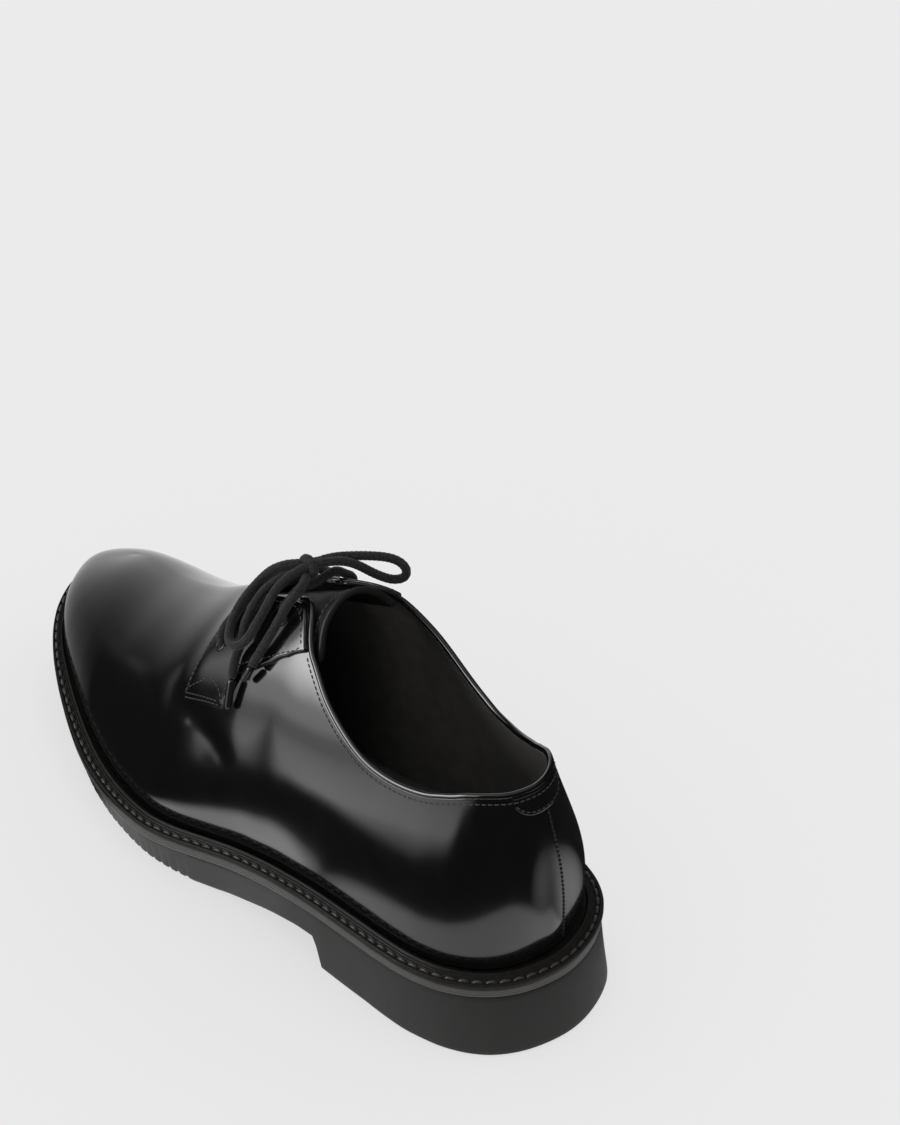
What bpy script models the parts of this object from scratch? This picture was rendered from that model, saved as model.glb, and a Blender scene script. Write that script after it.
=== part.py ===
"""A black leather derby shoe, the left one of a pair.

Lengths in the tables are millimetres: s runs along the sole from the back of the heel to the toe,
y is positive on the outer (lateral) side and z is height over the floor. The mesh is in metres,
with the toe along +X, the outer side along +Y and +Z up.
"""

import math

import bpy
import numpy as np

MM = 0.001
ORIGIN = (150.77, 0.91)

# Sole edge seen from above, as the welt's outer edge: s and y from the heel round to the toe
EDGE_LATERAL = [
    (2.2, 3), (3.4, 13.3), (5.9, 22), (10.2, 29.2), (17, 36.2), (27.4, 42.3), (41, 45.7), (56, 46.5),
    (75, 46.3), (95, 45.7), (118, 45.7), (135, 47), (150, 49.8), (164, 52.4), (177, 53.2),
    (190, 51.6), (205, 48.5), (220, 44), (235, 38), (250, 30.8), (263, 23.7), (275, 16.2),
    (285, 8.4), (293, 0), (298.5, -9), (301.5, -16), (302, -20),
]
EDGE_MEDIAL = [
    (2.2, 3), (3.3, -5.2), (6.5, -14.8), (11.6, -24), (18.4, -31.8), (27.6, -37.6), (40, -41.5), (56, -43),
    (72, -41.8), (90, -38.8), (108, -35.8), (125, -34.8), (140, -36), (155, -39.3), (170, -43.6),
    (185, -47.4), (200, -50), (215, -51.2), (230, -51), (245, -49.5), (258, -47.2), (270, -44.2),
    (281, -40.4), (290, -35.6), (297, -30), (300.8, -25), (302, -20),
]
EDGE_BLUR = 4.0
EDGE_STEP = 0.5
SOLE_LENGTH = 302.0

# Height of the welt's upper face along the sole: s, z
DECK = [
    (0, 30.4), (45, 30.4), (75, 30.0), (100, 28.2), (120, 25.6), (140, 22.5), (160, 19.4),
    (180, 17.0), (200, 15.6), (215, 15.4), (230, 16.0), (245, 17.6), (260, 20.2), (275, 23.6),
    (290, 27.8), (302, 31.5),
]
# Underside of the outsole: s, z, with the breast of the heel as the steep step
UNDERSIDE = [
    (0, 0), (86, 0), (88.5, 11.6), (100, 10.2), (114, 7.2), (128, 4.0), (142, 1.3), (153, 0),
    (206, 0), (220, 0.5), (235, 1.9), (250, 4.2), (265, 7.4), (280, 11.2), (302, 17.2),
]
# How far the underside's edge lies inside the welt's edge: s, inset
UNDERSIDE_INSET = [
    (0, -1.6), (12, -1.3), (30, 0.9), (60, 2.4), (86, 2.4), (110, 3.6), (140, 4.6), (185, 4.2),
    (230, 4.0), (302, 3.2),
]
STATIONS_REAR = 11
STATIONS_WAIST = 7
STATIONS_FORE = 22
BREAST = (86.0, 88.5)
FOREFOOT = 152.0

GAP = 0.3
WELT_THICK = 2.4
MIDSOLE_THICK = 3.2
MIDSOLE_INSET = 0.5
OUTSOLE_INSET = 0.9
TREAD_CHAMFER = 1.1
# Section of the welt: inset from the edge, height over its upper face; it narrows with the feather line
WELT_SECTION = [
    (0.4, -2.4), (0.0, -2.0), (0.0, -0.5), (0.5, 0.0), (4.4, 0.0), (4.8, 1.2), (5.6, 1.2),
    (6.0, 0.0), (13.5, 0.0), (13.5, -2.4),
]
# How far the foot of the upper lies inside the welt's edge: s, inset
FEATHER = [(0, 8.2), (30, 7.6), (60, 7.0), (230, 7.0), (262, 6.0), (285, 4.7), (302, 4.5)]
FEATHER_SIDE = 7.0
WALL = 2.0
INSOLE_INSET = 14.0
INSOLE_RISE = 3.0

# Ridge over the vamp and the lacing: s, y, z
RIDGE = [
    (100, -1.0, 128.0), (120, -2.0, 123.0), (130, -2.6, 120.0), (140, -3.2, 116.5),
    (150, -3.8, 112.0), (160, -4.5, 106.8), (170, -5.2, 101.2), (180, -6.0, 95.0),
    (190, -7.0, 88.6), (200, -8.2, 82.6), (215, -10.2, 75.6), (230, -12.8, 70.2),
    (245, -15.6, 66.4), (255, -17.4, 63.6), (264, -18.8, 59.8), (272, -19.6, 55.0),
]
FAN_START = 222.0
FAN_END = 292.0
FAN_PULL = 0.42
# Share of the ridge's own slope that the profiles take on where they meet it
RIDGE_SHARE = 0.8
THROAT = 175.0
COLLAR_BLEND = 22.0
# Collar and lacing edge over the feather line: s, lateral inset, medial inset, lateral z, medial z
TOP_EDGE = [
    (0, 6.6, 6.6, 100.0, 100.0), (11, 6.8, 7.0, 100.0, 100.0), (15, 8.4, 9.2, 99.7, 99.6),
    (20, 10.0, 12.0, 98.9, 98.7), (30, 11.2, 14.8, 96.8, 96.2), (45, 10.2, 15.0, 92.8, 92.6),
    (60, 8.8, 13.0, 90.8, 90.9), (75, 8.6, 9.2, 91.6, 92.4), (90, 10.6, 5.2, 95.8, 98.8),
    (104, 14.8, 2.4, 101.6, 106.0), (116, 20.6, 2.6, 107.8, 111.6), (128, 28.0, 7.0, 113.2, 116.6),
    (138, 35.2, 14.0, 117.0, 119.0),
]
# Half width of the lacing slot: s, y
SLOT = [(138, 8.0), (150, 7.0), (162, 5.6), (170, 3.8), (175, 1.6)]
SLOT_DROP = 0.012
# How each profile leaves the welt and arrives at the top: s, outward lean in degrees, length of the
# leaving handle as a share of the height, arriving angle over the level, length of that handle
PROFILE = [
    (0, 6, 0.40, 72, 0.38), (30, 9, 0.41, 72, 0.38), (60, 9, 0.40, 72, 0.40),
    (90, 10, 0.42, 62, 0.42), (110, 10, 0.44, 52, 0.45), (130, 9, 0.46, 40, 0.50),
    (150, 8, 0.46, 26, 0.55), (178, 7, 0.48, 14, 0.56), (200, 7, 0.52, 9, 0.56),
    (230, 7, 0.56, 4, 0.56), (260, 7, 0.53, 0, 0.54), (302, 11, 0.52, 0, 0.46),
]
# Outward lean of the lateral profiles, where the quarter stands straighter: s, degrees
LATERAL_LEAN = [
    (0, 6), (14, 2), (30, -2), (60, -3), (90, 1), (110, 5), (130, 8), (150, 8), (178, 7), (260, 7), (302, 11),
]
UPPER_ROWS = 14
# Keeps a profile heading inward where its top lies right over its foot
HEADING = 8.0

# Lacing flaps: front edge and rear edge as s at the foot and at the top
FACING_THICK = 1.3
FACING_LIFT = 0.6
FACING_ROWS = 9
FACING_TOP = 0.985
FACING_FRONT = (170.4, 168.2)
FACING_REAR = (121.0, 132.0)
# Foot of a flap: share of the way from its front edge to its rear edge, rise up the profile
FACING_FOOT = [
    (0.0, 0.48), (0.12, 0.483), (0.24, 0.487), (0.36, 0.492), (0.47, 0.497), (0.494, 0.638),
    (0.551, 0.65), (0.656, 0.69), (0.769, 0.738), (0.891, 0.822), (1.0, 0.93),
]

TONGUE_THICK = 2.0
# Free end of the tongue, from the outer side over the crown to the inner side: s, y, z
TONGUE_END = [
    (117.5, 17.0, 104.0), (120.5, 13.5, 108.0), (123.5, 9.5, 112.0), (126.0, 4.0, 116.0),
    (127.0, -3.0, 118.0), (126.0, -9.5, 117.6), (123.0, -14.0, 116.2), (118.5, -17.0, 114.0),
]
TONGUE_FRONT = 176.0
TONGUE_NARROW = 0.6
TONGUE_ARCH = 0.026
TONGUE_SINK = 5.8
TONGUE_ROWS = 8

TAB_THICK = 0.9
TAB_LIFT = 0.45
TAB_MIDDLE = -3.0
TAB_REACH = 15.0
TAB_FOOT = 0.868
TAB_END_FOOT = 0.93
TAB_TOP = 0.985
TAB_ROWS = 4
TAB_COLUMNS = 11

LACE_RADIUS = 1.75
LACE_SIDES = 2
LACE_SPACING = 4.5
# Lace bars between the eyelets: s, rise of the lateral eyelet, rise of the medial eyelet
LACE_BARS = [(161.5, 0.72, 0.84), (149.5, 0.87, 0.86), (137.5, 0.94, 0.90)]
BAR_POINTS = 4
BAR_LIFT = 4.6
KNOT_AT = (140.3, -0.9, 126.0)
KNOT_SIZE = (9.0, 8.4, 7.0)
LOOP_LATERAL = [
    (146.2, 1.8, 125.8), (151.2, 5.8, 122.8), (155.0, 9.8, 117.4), (155.8, 15.3, 113.2),
    (155.6, 20.2, 109.0), (153.6, 25.0, 105.1), (150.2, 28.3, 102.8), (145.8, 29.3, 103.3),
    (142.4, 27.4, 106.4), (141.4, 23.4, 111.4), (142.0, 17.4, 116.9), (143.2, 11.0, 121.2),
    (141.8, 4.8, 125.2),
]
LOOP_MEDIAL = [
    (139.8, -6.0, 126.6), (138.4, -10.6, 126.5), (135.2, -16.2, 126.2), (131.2, -23.0, 125.0), (128.0, -28.2, 123.4),
    (125.4, -31.6, 121.0), (123.6, -32.8, 118.0), (124.0, -32.2, 115.2), (125.6, -29.8, 114.4), (127.6, -26.0, 116.0),
    (129.8, -22.0, 119.0), (131.6, -18.0, 122.6), (133.6, -12.5, 126.3), (136.2, -4.6, 128.4),
]
END_FRONT = [
    (147.4, 4.6, 121.0), (149.4, 9.0, 118.4), (150.0, 13.6, 115.6), (149.6, 18.2, 111.8), (149.0, 22.0, 107.2),
    (147.8, 24.6, 102.0), (147.6, 27.1, 97.9), (146.5, 29.7, 94.8), (145.0, 32.1, 90.8), (143.9, 34.1, 86.3),
    (142.7, 36.5, 80.4),
]
END_REAR = [
    (135.2, 8.5, 122.0), (135.0, 12.5, 119.8), (135.2, 16.2, 116.0), (135.6, 19.4, 111.7), (136.0, 22.6, 107.7),
    (136.7, 25.8, 103.2), (137.7, 28.7, 98.2), (138.8, 30.1, 95.0), (139.9, 31.3, 92.2),
]


def clear_scene():
    for old in list(bpy.data.objects):
        bpy.data.objects.remove(old, do_unlink=True)


def smooth(table, s, column=1):
    """A smooth curve through a table's column: cubic between rows, level beyond its ends."""
    rows = np.array(table, float)
    x, y = rows[:, 0], rows[:, column]
    step = np.diff(x)
    slope = np.gradient(y, x)
    s = np.clip(np.asarray(s, float), x[0], x[-1])
    k = np.clip(np.searchsorted(x, s, side="right") - 1, 0, len(step) - 1)
    t = (s - x[k]) / step[k]
    keep = (1 + 2 * t) * (1 - t) ** 2 * y[k] + t * t * (3 - 2 * t) * y[k + 1]
    turn = t * (1 - t) ** 2 * slope[k] - t * t * (1 - t) * slope[k + 1]
    return keep + turn * step[k]


def straight(table, s):
    rows = np.array(table, float)
    return np.interp(s, rows[:, 0], rows[:, 1])


def dense_edge():
    """The sole's edge as a fine closed polyline, blurred so that the table's corners are round."""
    closed = np.array(EDGE_LATERAL + EDGE_MEDIAL[-2::-1], float)
    run = np.r_[0, np.cumsum(np.linalg.norm(np.diff(closed, axis=0), axis=1))]
    at = np.arange(0, run[-1], EDGE_STEP)
    fine = np.stack([np.interp(at, run, closed[:, c]) for c in (0, 1)], 1)
    reach = np.arange(-40, 41)
    weight = np.exp(-0.5 * (reach * EDGE_STEP / EDGE_BLUR) ** 2)
    weight /= weight.sum()
    return sum(w * np.roll(fine, -r, axis=0) for w, r in zip(weight, reach))


def stations():
    """Places along the sole as shares of its length, close together at both round ends."""
    turn = np.linspace(0, math.pi / 2, STATIONS_REAR)
    rear = BREAST[0] * (1 - np.cos(turn))
    waist = np.linspace(BREAST[1], FOREFOOT, STATIONS_WAIST)
    turn = np.linspace(0, math.pi / 2, STATIONS_FORE)[1:]
    fore = FOREFOOT + (SOLE_LENGTH - FOREFOOT) * np.sin(turn)
    return np.r_[rear, waist, fore] / SOLE_LENGTH


def edge_ring():
    """Points round the sole's edge with inward normals: lateral heel to toe, then medial toe to heel."""
    fine = dense_edge()
    back = np.argmin(fine[:, 0])
    fine = np.roll(fine, -back, axis=0)
    tip = np.argmax(fine[:, 0])
    share = stations()
    low, high = fine[0, 0], fine[tip, 0]
    s = low + share * (high - low)
    lateral = fine[: tip + 1]
    medial = np.r_[fine[tip:], fine[:1]][::-1]
    sides = [np.stack([s, np.interp(s, side[:, 0], side[:, 1])], 1) for side in (lateral, medial)]
    ring = np.r_[sides[0], sides[1][-2:0:-1]]
    ahead = np.roll(ring, -1, axis=0) - np.roll(ring, 1, axis=0)
    ahead /= np.linalg.norm(ahead, axis=1)[:, None]
    # The ring runs clockwise seen from above, so inward is to the right
    return ring, np.stack([ahead[:, 1], -ahead[:, 0]], 1)


RING, INWARD = edge_ring()
COUNT = len(RING)
HALF = COUNT // 2
DECK_RING = smooth(DECK, RING[:, 0])


def ring_at(inset, height):
    """The edge ring moved inward by inset, at the given heights."""
    return np.c_[RING + INWARD * np.asarray(inset, float).reshape(-1, 1), height]


def to_part(points):
    return (np.asarray(points, float) - [ORIGIN[0], ORIGIN[1], 0]) * MM


def add_mesh(name, points, faces, collection, material):
    mesh = bpy.data.meshes.new(name)
    mesh.from_pydata(to_part(points).tolist(), [], faces)
    mesh.materials.append(material)
    obj = bpy.data.objects.new(name, mesh)
    collection.objects.link(obj)
    return obj


def band(lower, upper, count):
    """Faces between two rings of points, given the index of each ring's first point."""
    turns = [(k, (k + 1) % count) for k in range(count)]
    return [(lower + b, lower + a, upper + a, upper + b) for a, b in turns]


def lid(first, upward):
    """Faces across one ring, from its lateral side to its medial side."""
    faces = []
    for k in range(HALF):
        corners = [first + k, first + k + 1]
        corners += [first + (COUNT - j) % COUNT for j in (k + 1, k)]
        corners = list(dict.fromkeys(corners))
        faces.append(corners[::-1] if upward else corners)
    return faces


def slab(name, rings, collection, material):
    """A closed body from rings stacked from the floor up."""
    faces = lid(0, False)
    for level in range(len(rings) - 1):
        faces += band(level * COUNT, (level + 1) * COUNT, COUNT)
    faces += lid((len(rings) - 1) * COUNT, True)
    return add_mesh(name, np.concatenate(rings), faces, collection, material)


def make_outsole(collection, material):
    inset = straight(UNDERSIDE_INSET, RING[:, 0])
    under = straight(UNDERSIDE, RING[:, 0])
    top = DECK_RING - WELT_THICK - MIDSOLE_THICK - 2 * GAP
    rings = [
        ring_at(inset, under),
        ring_at(inset - TREAD_CHAMFER, under + TREAD_CHAMFER),
        ring_at(OUTSOLE_INSET, top),
    ]
    return slab("outsole", rings, collection, material)


def make_midsole(collection, material):
    top = DECK_RING - WELT_THICK - GAP
    rings = [ring_at(MIDSOLE_INSET, top - MIDSOLE_THICK), ring_at(MIDSOLE_INSET, top)]
    return slab("midsole", rings, collection, material)


def make_welt(collection, material):
    narrow = np.minimum(1.0, smooth(FEATHER, RING[:, 0]) / FEATHER_SIDE)
    rings = [ring_at(inset * narrow, DECK_RING + rise) for inset, rise in WELT_SECTION]
    levels = len(rings)
    faces = []
    for level in range(levels):
        faces += band(level * COUNT, (level + 1) % levels * COUNT, COUNT)
    return add_mesh("welt", np.concatenate(rings), faces, collection, material)


def make_insole(collection, material):
    rings = [ring_at(INSOLE_INSET, DECK_RING - WELT_THICK), ring_at(INSOLE_INSET, DECK_RING + INSOLE_RISE)]
    return slab("insole", rings, collection, material)


def ridge_place(s):
    """Where the ridge takes the profiles that start at s: they fan out round the toe."""
    beyond = np.maximum(s - FAN_START, 0)
    return s - FAN_PULL * beyond * beyond / (FAN_END - FAN_START)


class Upper:
    """The outer face of the upper as profiles that rise from the feather line to the top edge."""

    def __init__(self):
        plan = RING + INWARD * smooth(FEATHER, RING[:, 0])[:, None]
        self.feet = np.c_[plan, DECK_RING + GAP]
        pair = [(COUNT - k) % COUNT for k in range(COUNT)]
        self.middle = (plan[:, 0] + plan[pair, 0]) / 2
        self.tops = self.top_edge()

    def top_edge(self):
        s = self.middle
        side = np.where(np.arange(COUNT) <= HALF, 1.0, -1.0)
        inset = np.where(side > 0, smooth(TOP_EDGE, s, 1), smooth(TOP_EDGE, s, 2))
        rise = np.where(side > 0, smooth(TOP_EDGE, s, 3), smooth(TOP_EDGE, s, 4))
        collar = np.c_[self.feet[:, :2] + INWARD * inset[:, None], rise]
        place = ridge_place(s)
        across = smooth(RIDGE, place, 1) + side * np.where(s < THROAT, smooth(SLOT, s), 0.0)
        drop = SLOT_DROP * np.where(s < THROAT, smooth(SLOT, s), 0.0) ** 2
        ridge = np.c_[place, across, smooth(RIDGE, place, 2) - drop]
        last = TOP_EDGE[-1][0]
        blend = np.clip((s - last) / COLLAR_BLEND + 1, 0, 1)
        blend = blend * blend * (3 - 2 * blend)
        return collar * (1 - blend[:, None]) + ridge * blend[:, None]

    def point(self, k, v):
        """A point at ring place k, which may lie between ring points, and share v up the profile."""
        k = np.asarray(k, float) % COUNT
        low = np.floor(k).astype(int) % COUNT
        part = (k - np.floor(k))[..., None]
        high = (low + 1) % COUNT
        return self.profile(low, v) * (1 - part) + self.profile(high, v) * part

    def profile(self, k, v):
        foot, top, s = self.feet[k], self.tops[k], self.middle[k]
        run = top[..., :2] - foot[..., :2]
        width = np.linalg.norm(run, axis=-1)
        level = run + INWARD[k] * HEADING
        level /= np.linalg.norm(level, axis=-1)[..., None]
        height = top[..., 2] - foot[..., 2]
        lean = np.radians(np.where(k > HALF, smooth(PROFILE, s, 1), smooth(LATERAL_LEAN, s)))
        place = ridge_place(s)
        slope = (smooth(RIDGE, place + 1, 2) - smooth(RIDGE, place - 1, 2)) / 2
        follow = np.where(s < THROAT, 0.0, RIDGE_SHARE * np.arctan(slope * level[..., 0]))
        arrive = np.radians(smooth(PROFILE, s, 3)) + follow
        leave = smooth(PROFILE, s, 2) * height
        come = smooth(PROFILE, s, 4) * np.hypot(width * np.cos(arrive), height * np.sin(arrive))
        out = np.concatenate([level, np.zeros_like(width)[..., None]], -1)
        up = np.array([0.0, 0.0, 1.0])
        first = foot - out * (leave * np.sin(lean))[..., None] + up * (leave * np.cos(lean))[..., None]
        second = top - out * (come * np.cos(arrive))[..., None] - up * (come * np.sin(arrive))[..., None]
        v = np.asarray(v, float)[..., None]
        w = 1 - v
        return w**3 * foot + 3 * w * w * v * first + 3 * w * v * v * second + v**3 * top

    def place_of(self, s, side):
        """The ring place on one side whose profiles start at s: side is 1 lateral, -1 medial."""
        half = self.middle[: HALF + 1]
        k = np.interp(s, half, np.arange(HALF + 1))
        return k if side > 0 else COUNT - k

    def place_round_heel(self, reach):
        """The ring place that lies reach from the middle of the heel, measured along the feather line."""
        around = np.r_[self.feet[HALF:], self.feet[:HALF]][:, :2]
        run = np.r_[0, np.cumsum(np.linalg.norm(np.diff(around, axis=0), axis=1))]
        run -= run[COUNT - HALF]
        return np.interp(reach, run, np.arange(COUNT) - (COUNT - HALF))

    def normal(self, k, v):
        step_k, step_v = 0.05, 0.004
        along = self.point(k + step_k, v) - self.point(k - step_k, v)
        up = self.point(k, np.minimum(v + step_v, 1.0)) - self.point(k, np.maximum(v - step_v, 0.0))
        out = np.cross(up, along)
        return out / np.linalg.norm(out, axis=-1)[..., None]

    def lifted(self, k, v, lift):
        return self.point(k, v) + self.normal(k, v) * lift


UPPER = Upper()


def grid_faces(columns, rows):
    return [
        (c * rows + r, c * rows + r + 1, (c + 1) * rows + r + 1, (c + 1) * rows + r)
        for c in range(columns - 1)
        for r in range(rows - 1)
    ]


def shell(obj, thick, outward):
    """Gives an open sheet its thickness, on its outer or its inner side."""
    weld = obj.modifiers.new("weld", "WELD")
    weld.merge_threshold = 0.00002
    solid = obj.modifiers.new("thickness", "SOLIDIFY")
    solid.thickness = thick * MM
    solid.offset = 1.0 if outward else -1.0
    solid.use_even_offset = False
    return obj


def make_upper(collection, material):
    rise = np.linspace(0, 1, UPPER_ROWS)
    around = np.r_[np.arange(COUNT), 0]
    points = np.concatenate([UPPER.profile(np.full(UPPER_ROWS, k), rise) for k in around])
    faces = grid_faces(len(around), UPPER_ROWS)
    return shell(add_mesh("upper", points, faces, collection, material), WALL, False)


def make_facing(name, side, collection, material):
    points = []
    for a, foot in FACING_FOOT:
        b = np.linspace(0, 1, FACING_ROWS)
        front = FACING_FRONT[0] + b * (FACING_FRONT[1] - FACING_FRONT[0])
        rear = FACING_REAR[0] + b * (FACING_REAR[1] - FACING_REAR[0])
        s = front + a * (rear - front)
        v = foot + b * (FACING_TOP - foot)
        k = UPPER.place_of(s, side)
        points.append(UPPER.lifted(k, v, FACING_LIFT))
    faces = grid_faces(len(FACING_FOOT), FACING_ROWS)
    if side > 0:
        faces = [face[::-1] for face in faces]
    flap = add_mesh(name, np.concatenate(points), faces, collection, material)
    return shell(flap, FACING_THICK, True)


def make_tongue(collection, material):
    end = np.array(TONGUE_END)
    points = []
    for share in np.linspace(0, 1, TONGUE_ROWS):
        s = end[:, 0] + share * (TONGUE_FRONT - end[:, 0])
        y = (end[:, 1] - smooth(RIDGE, end[:, 0], 1)) * (1 - share * (1 - TONGUE_NARROW))
        sheet = smooth(RIDGE, s, 2) - TONGUE_SINK - TONGUE_ARCH * y * y
        own = smooth(RIDGE, end[:, 0], 2) - TONGUE_SINK
        own = end[:, 2] - own + TONGUE_ARCH * (end[:, 1] - smooth(RIDGE, end[:, 0], 1)) ** 2
        points.append(np.stack([s, smooth(RIDGE, s, 1) + y, sheet + own * (1 - share) ** 3], 1))
    faces = grid_faces(TONGUE_ROWS, len(end))
    tongue = add_mesh("tongue", np.concatenate(points), faces, collection, material)
    return shell(tongue, TONGUE_THICK, False)


def make_back_tab(collection, material):
    points = []
    for across in np.linspace(-1, 1, TAB_COLUMNS):
        k = UPPER.place_round_heel(TAB_MIDDLE + TAB_REACH * across)
        foot = TAB_FOOT + (TAB_END_FOOT - TAB_FOOT) * abs(across) ** 4
        v = np.linspace(foot, TAB_TOP, TAB_ROWS)
        points.append(UPPER.lifted(np.full(TAB_ROWS, k), v, TAB_LIFT))
    faces = grid_faces(TAB_COLUMNS, TAB_ROWS)
    tab = add_mesh("back_tab", np.concatenate(points), faces, collection, material)
    return shell(tab, TAB_THICK, True)


def tube(name, route, collection, material):
    """A round cord along a smooth curve through the route's points."""
    route = np.array(route, float)
    run = np.r_[0, np.cumsum(np.linalg.norm(np.diff(route, axis=0), axis=1))]
    at = np.linspace(0, run[-1], max(int(run[-1] / LACE_SPACING) + 1, 3))
    table = np.c_[run, route]
    line = to_part(np.stack([smooth(table, at, c) for c in (1, 2, 3)], 1))
    curve = bpy.data.curves.new(name, "CURVE")
    curve.dimensions = "3D"
    curve.bevel_depth = LACE_RADIUS * MM
    curve.bevel_resolution = LACE_SIDES
    curve.use_fill_caps = True
    spline = curve.splines.new("POLY")
    spline.points.add(len(line) - 1)
    for point, place in zip(spline.points, line):
        point.co = (*place, 1.0)
    curve.materials.append(material)
    obj = bpy.data.objects.new(name, curve)
    collection.objects.link(obj)
    return obj


def make_lace_bars(collection, material):
    for number, (s, lateral, medial) in enumerate(LACE_BARS, 1):
        halves = []
        for side, rise in ((1, lateral), (-1, medial)):
            place = np.full(BAR_POINTS, UPPER.place_of(s, side))
            halves.append(UPPER.lifted(place, np.linspace(rise, 1, BAR_POINTS), BAR_LIFT))
        middle = (halves[0][-1:] + halves[1][-1:]) / 2
        tube(f"lace_bar_{number}", np.r_[halves[0], middle, halves[1][::-1]], collection, material)


def make_knot(collection, material):
    bpy.ops.mesh.primitive_uv_sphere_add(segments=14, ring_count=8, radius=1.0)
    obj = bpy.context.object
    obj.name = "lace_knot"
    obj.location = to_part(KNOT_AT)
    obj.scale = [0.5 * size * MM for size in KNOT_SIZE]
    obj.data.materials.append(material)
    for owner in list(obj.users_collection):
        owner.objects.unlink(obj)
    collection.objects.link(obj)


def make_material(name, colour, roughness):
    material = bpy.data.materials.new(name)
    material.use_nodes = True
    shader = material.node_tree.nodes["Principled BSDF"]
    shader.inputs["Base Color"].default_value = (*colour, 1.0)
    shader.inputs["Roughness"].default_value = roughness
    shader.inputs["Metallic"].default_value = 0.0
    return material


def main():
    clear_scene()
    collection = bpy.data.collections.new("derby_shoe")
    bpy.context.scene.collection.children.link(collection)
    rubber = make_material("rubber", (0.035, 0.034, 0.033), 0.6)
    grey_band = make_material("grey_band", (0.11, 0.105, 0.1), 0.35)
    welt_leather = make_material("welt_leather", (0.02, 0.02, 0.02), 0.4)
    polished_leather = make_material("polished_leather", (0.012, 0.012, 0.012), 0.12)
    lining = make_material("lining", (0.016, 0.016, 0.016), 0.7)
    cotton = make_material("cotton_lace", (0.022, 0.022, 0.022), 0.85)
    make_outsole(collection, rubber)
    make_midsole(collection, grey_band)
    make_welt(collection, welt_leather)
    make_insole(collection, lining)
    make_upper(collection, polished_leather)
    make_facing("facing_lateral", 1, collection, polished_leather)
    make_facing("facing_medial", -1, collection, polished_leather)
    make_tongue(collection, lining)
    make_back_tab(collection, polished_leather)
    make_lace_bars(collection, cotton)
    make_knot(collection, cotton)
    tube("lace_loop_lateral", LOOP_LATERAL, collection, cotton)
    tube("lace_loop_medial", LOOP_MEDIAL, collection, cotton)
    tube("lace_end_front", END_FRONT, collection, cotton)
    tube("lace_end_rear", END_REAR, collection, cotton)


main()
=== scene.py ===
import math

import bpy
import numpy as np
from mathutils import Matrix


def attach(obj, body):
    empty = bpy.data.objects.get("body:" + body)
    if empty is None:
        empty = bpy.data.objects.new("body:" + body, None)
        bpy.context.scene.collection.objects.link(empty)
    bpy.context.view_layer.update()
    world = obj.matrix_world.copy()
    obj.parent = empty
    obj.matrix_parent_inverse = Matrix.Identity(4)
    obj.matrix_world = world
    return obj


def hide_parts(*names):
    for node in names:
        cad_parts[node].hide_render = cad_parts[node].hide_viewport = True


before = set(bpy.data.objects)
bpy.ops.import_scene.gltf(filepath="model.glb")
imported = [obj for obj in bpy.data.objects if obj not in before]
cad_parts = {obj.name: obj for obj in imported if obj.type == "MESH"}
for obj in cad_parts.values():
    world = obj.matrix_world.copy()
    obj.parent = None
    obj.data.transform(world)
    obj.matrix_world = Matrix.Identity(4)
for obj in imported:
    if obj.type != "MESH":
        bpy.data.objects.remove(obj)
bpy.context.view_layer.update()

# Lengths in the tables are millimetres: s runs along the sole from the back of the heel to the toe,
# y is positive on the outer (lateral) side and z is height over the floor
MM = 0.001
ORIGIN = (150.77, 0.91)
# Points of a fine curve for each point of its route
FINE_POINTS = 40

# Sole edge seen from above, as the welt's outer edge: s and y from the heel round to the toe
EDGE_LATERAL = [
    (2.2, 3), (3.4, 13.3), (5.9, 22), (10.2, 29.2), (17, 36.2), (27.4, 42.3), (41, 45.7), (56, 46.5),
    (75, 46.3), (95, 45.7), (118, 45.7), (135, 47), (150, 49.8), (164, 52.4), (177, 53.2),
    (190, 51.6), (205, 48.5), (220, 44), (235, 38), (250, 30.8), (263, 23.7), (275, 16.2),
    (285, 8.4), (293, 0), (298.5, -9), (301.5, -16), (302, -20),
]
EDGE_MEDIAL = [
    (2.2, 3), (3.3, -5.2), (6.5, -14.8), (11.6, -24), (18.4, -31.8), (27.6, -37.6), (40, -41.5), (56, -43),
    (72, -41.8), (90, -38.8), (108, -35.8), (125, -34.8), (140, -36), (155, -39.3), (170, -43.6),
    (185, -47.4), (200, -50), (215, -51.2), (230, -51), (245, -49.5), (258, -47.2), (270, -44.2),
    (281, -40.4), (290, -35.6), (297, -30), (300.8, -25), (302, -20),
]
EDGE_BLUR = 4.0
EDGE_STEP = 0.5
EDGE_REACH = 40
SOLE_LENGTH = 302.0
# Places along heel, waist and front or toe
UPPER_COUNTS = (52, 34, 110)
OUTSOLE_COUNTS = (48, 24, 36)

# Height of the welt's upper face along the sole: s, z
DECK = [
    (0, 30.4), (45, 30.4), (75, 30), (100, 28.2), (120, 25.6), (140, 22.5), (160, 19.4),
    (180, 17), (200, 15.6), (215, 15.4), (230, 16), (245, 17.6), (260, 20.2), (275, 23.6),
    (290, 27.8), (302, 31.5),
]
# Underside of the outsole: s, z, with the breast of the heel as the steep step
UNDERSIDE = [
    (0, 0), (86, 0), (88.5, 11.6), (100, 10.2), (114, 7.2), (128, 4), (142, 1.3), (153, 0),
    (206, 0), (220, 0.5), (235, 1.9), (250, 4.2), (265, 7.4), (280, 11.2), (302, 17.2),
]
# How far the underside's edge lies inside the welt's edge: s, inset
UNDERSIDE_INSET = [
    (0, -1.6), (12, -1.3), (30, 0.9), (60, 2.4), (86, 2.4), (110, 3.6), (140, 4.6), (185, 4.2),
    (230, 4), (302, 3.2),
]
BREAST = (86.0, 88.5)
FOREFOOT = 152.0
TREAD_END = 262.0
TREAD_PITCH = 4.4
TREAD_DEPTH = 0.75
TREAD_CHAMFER = 1.1
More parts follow.
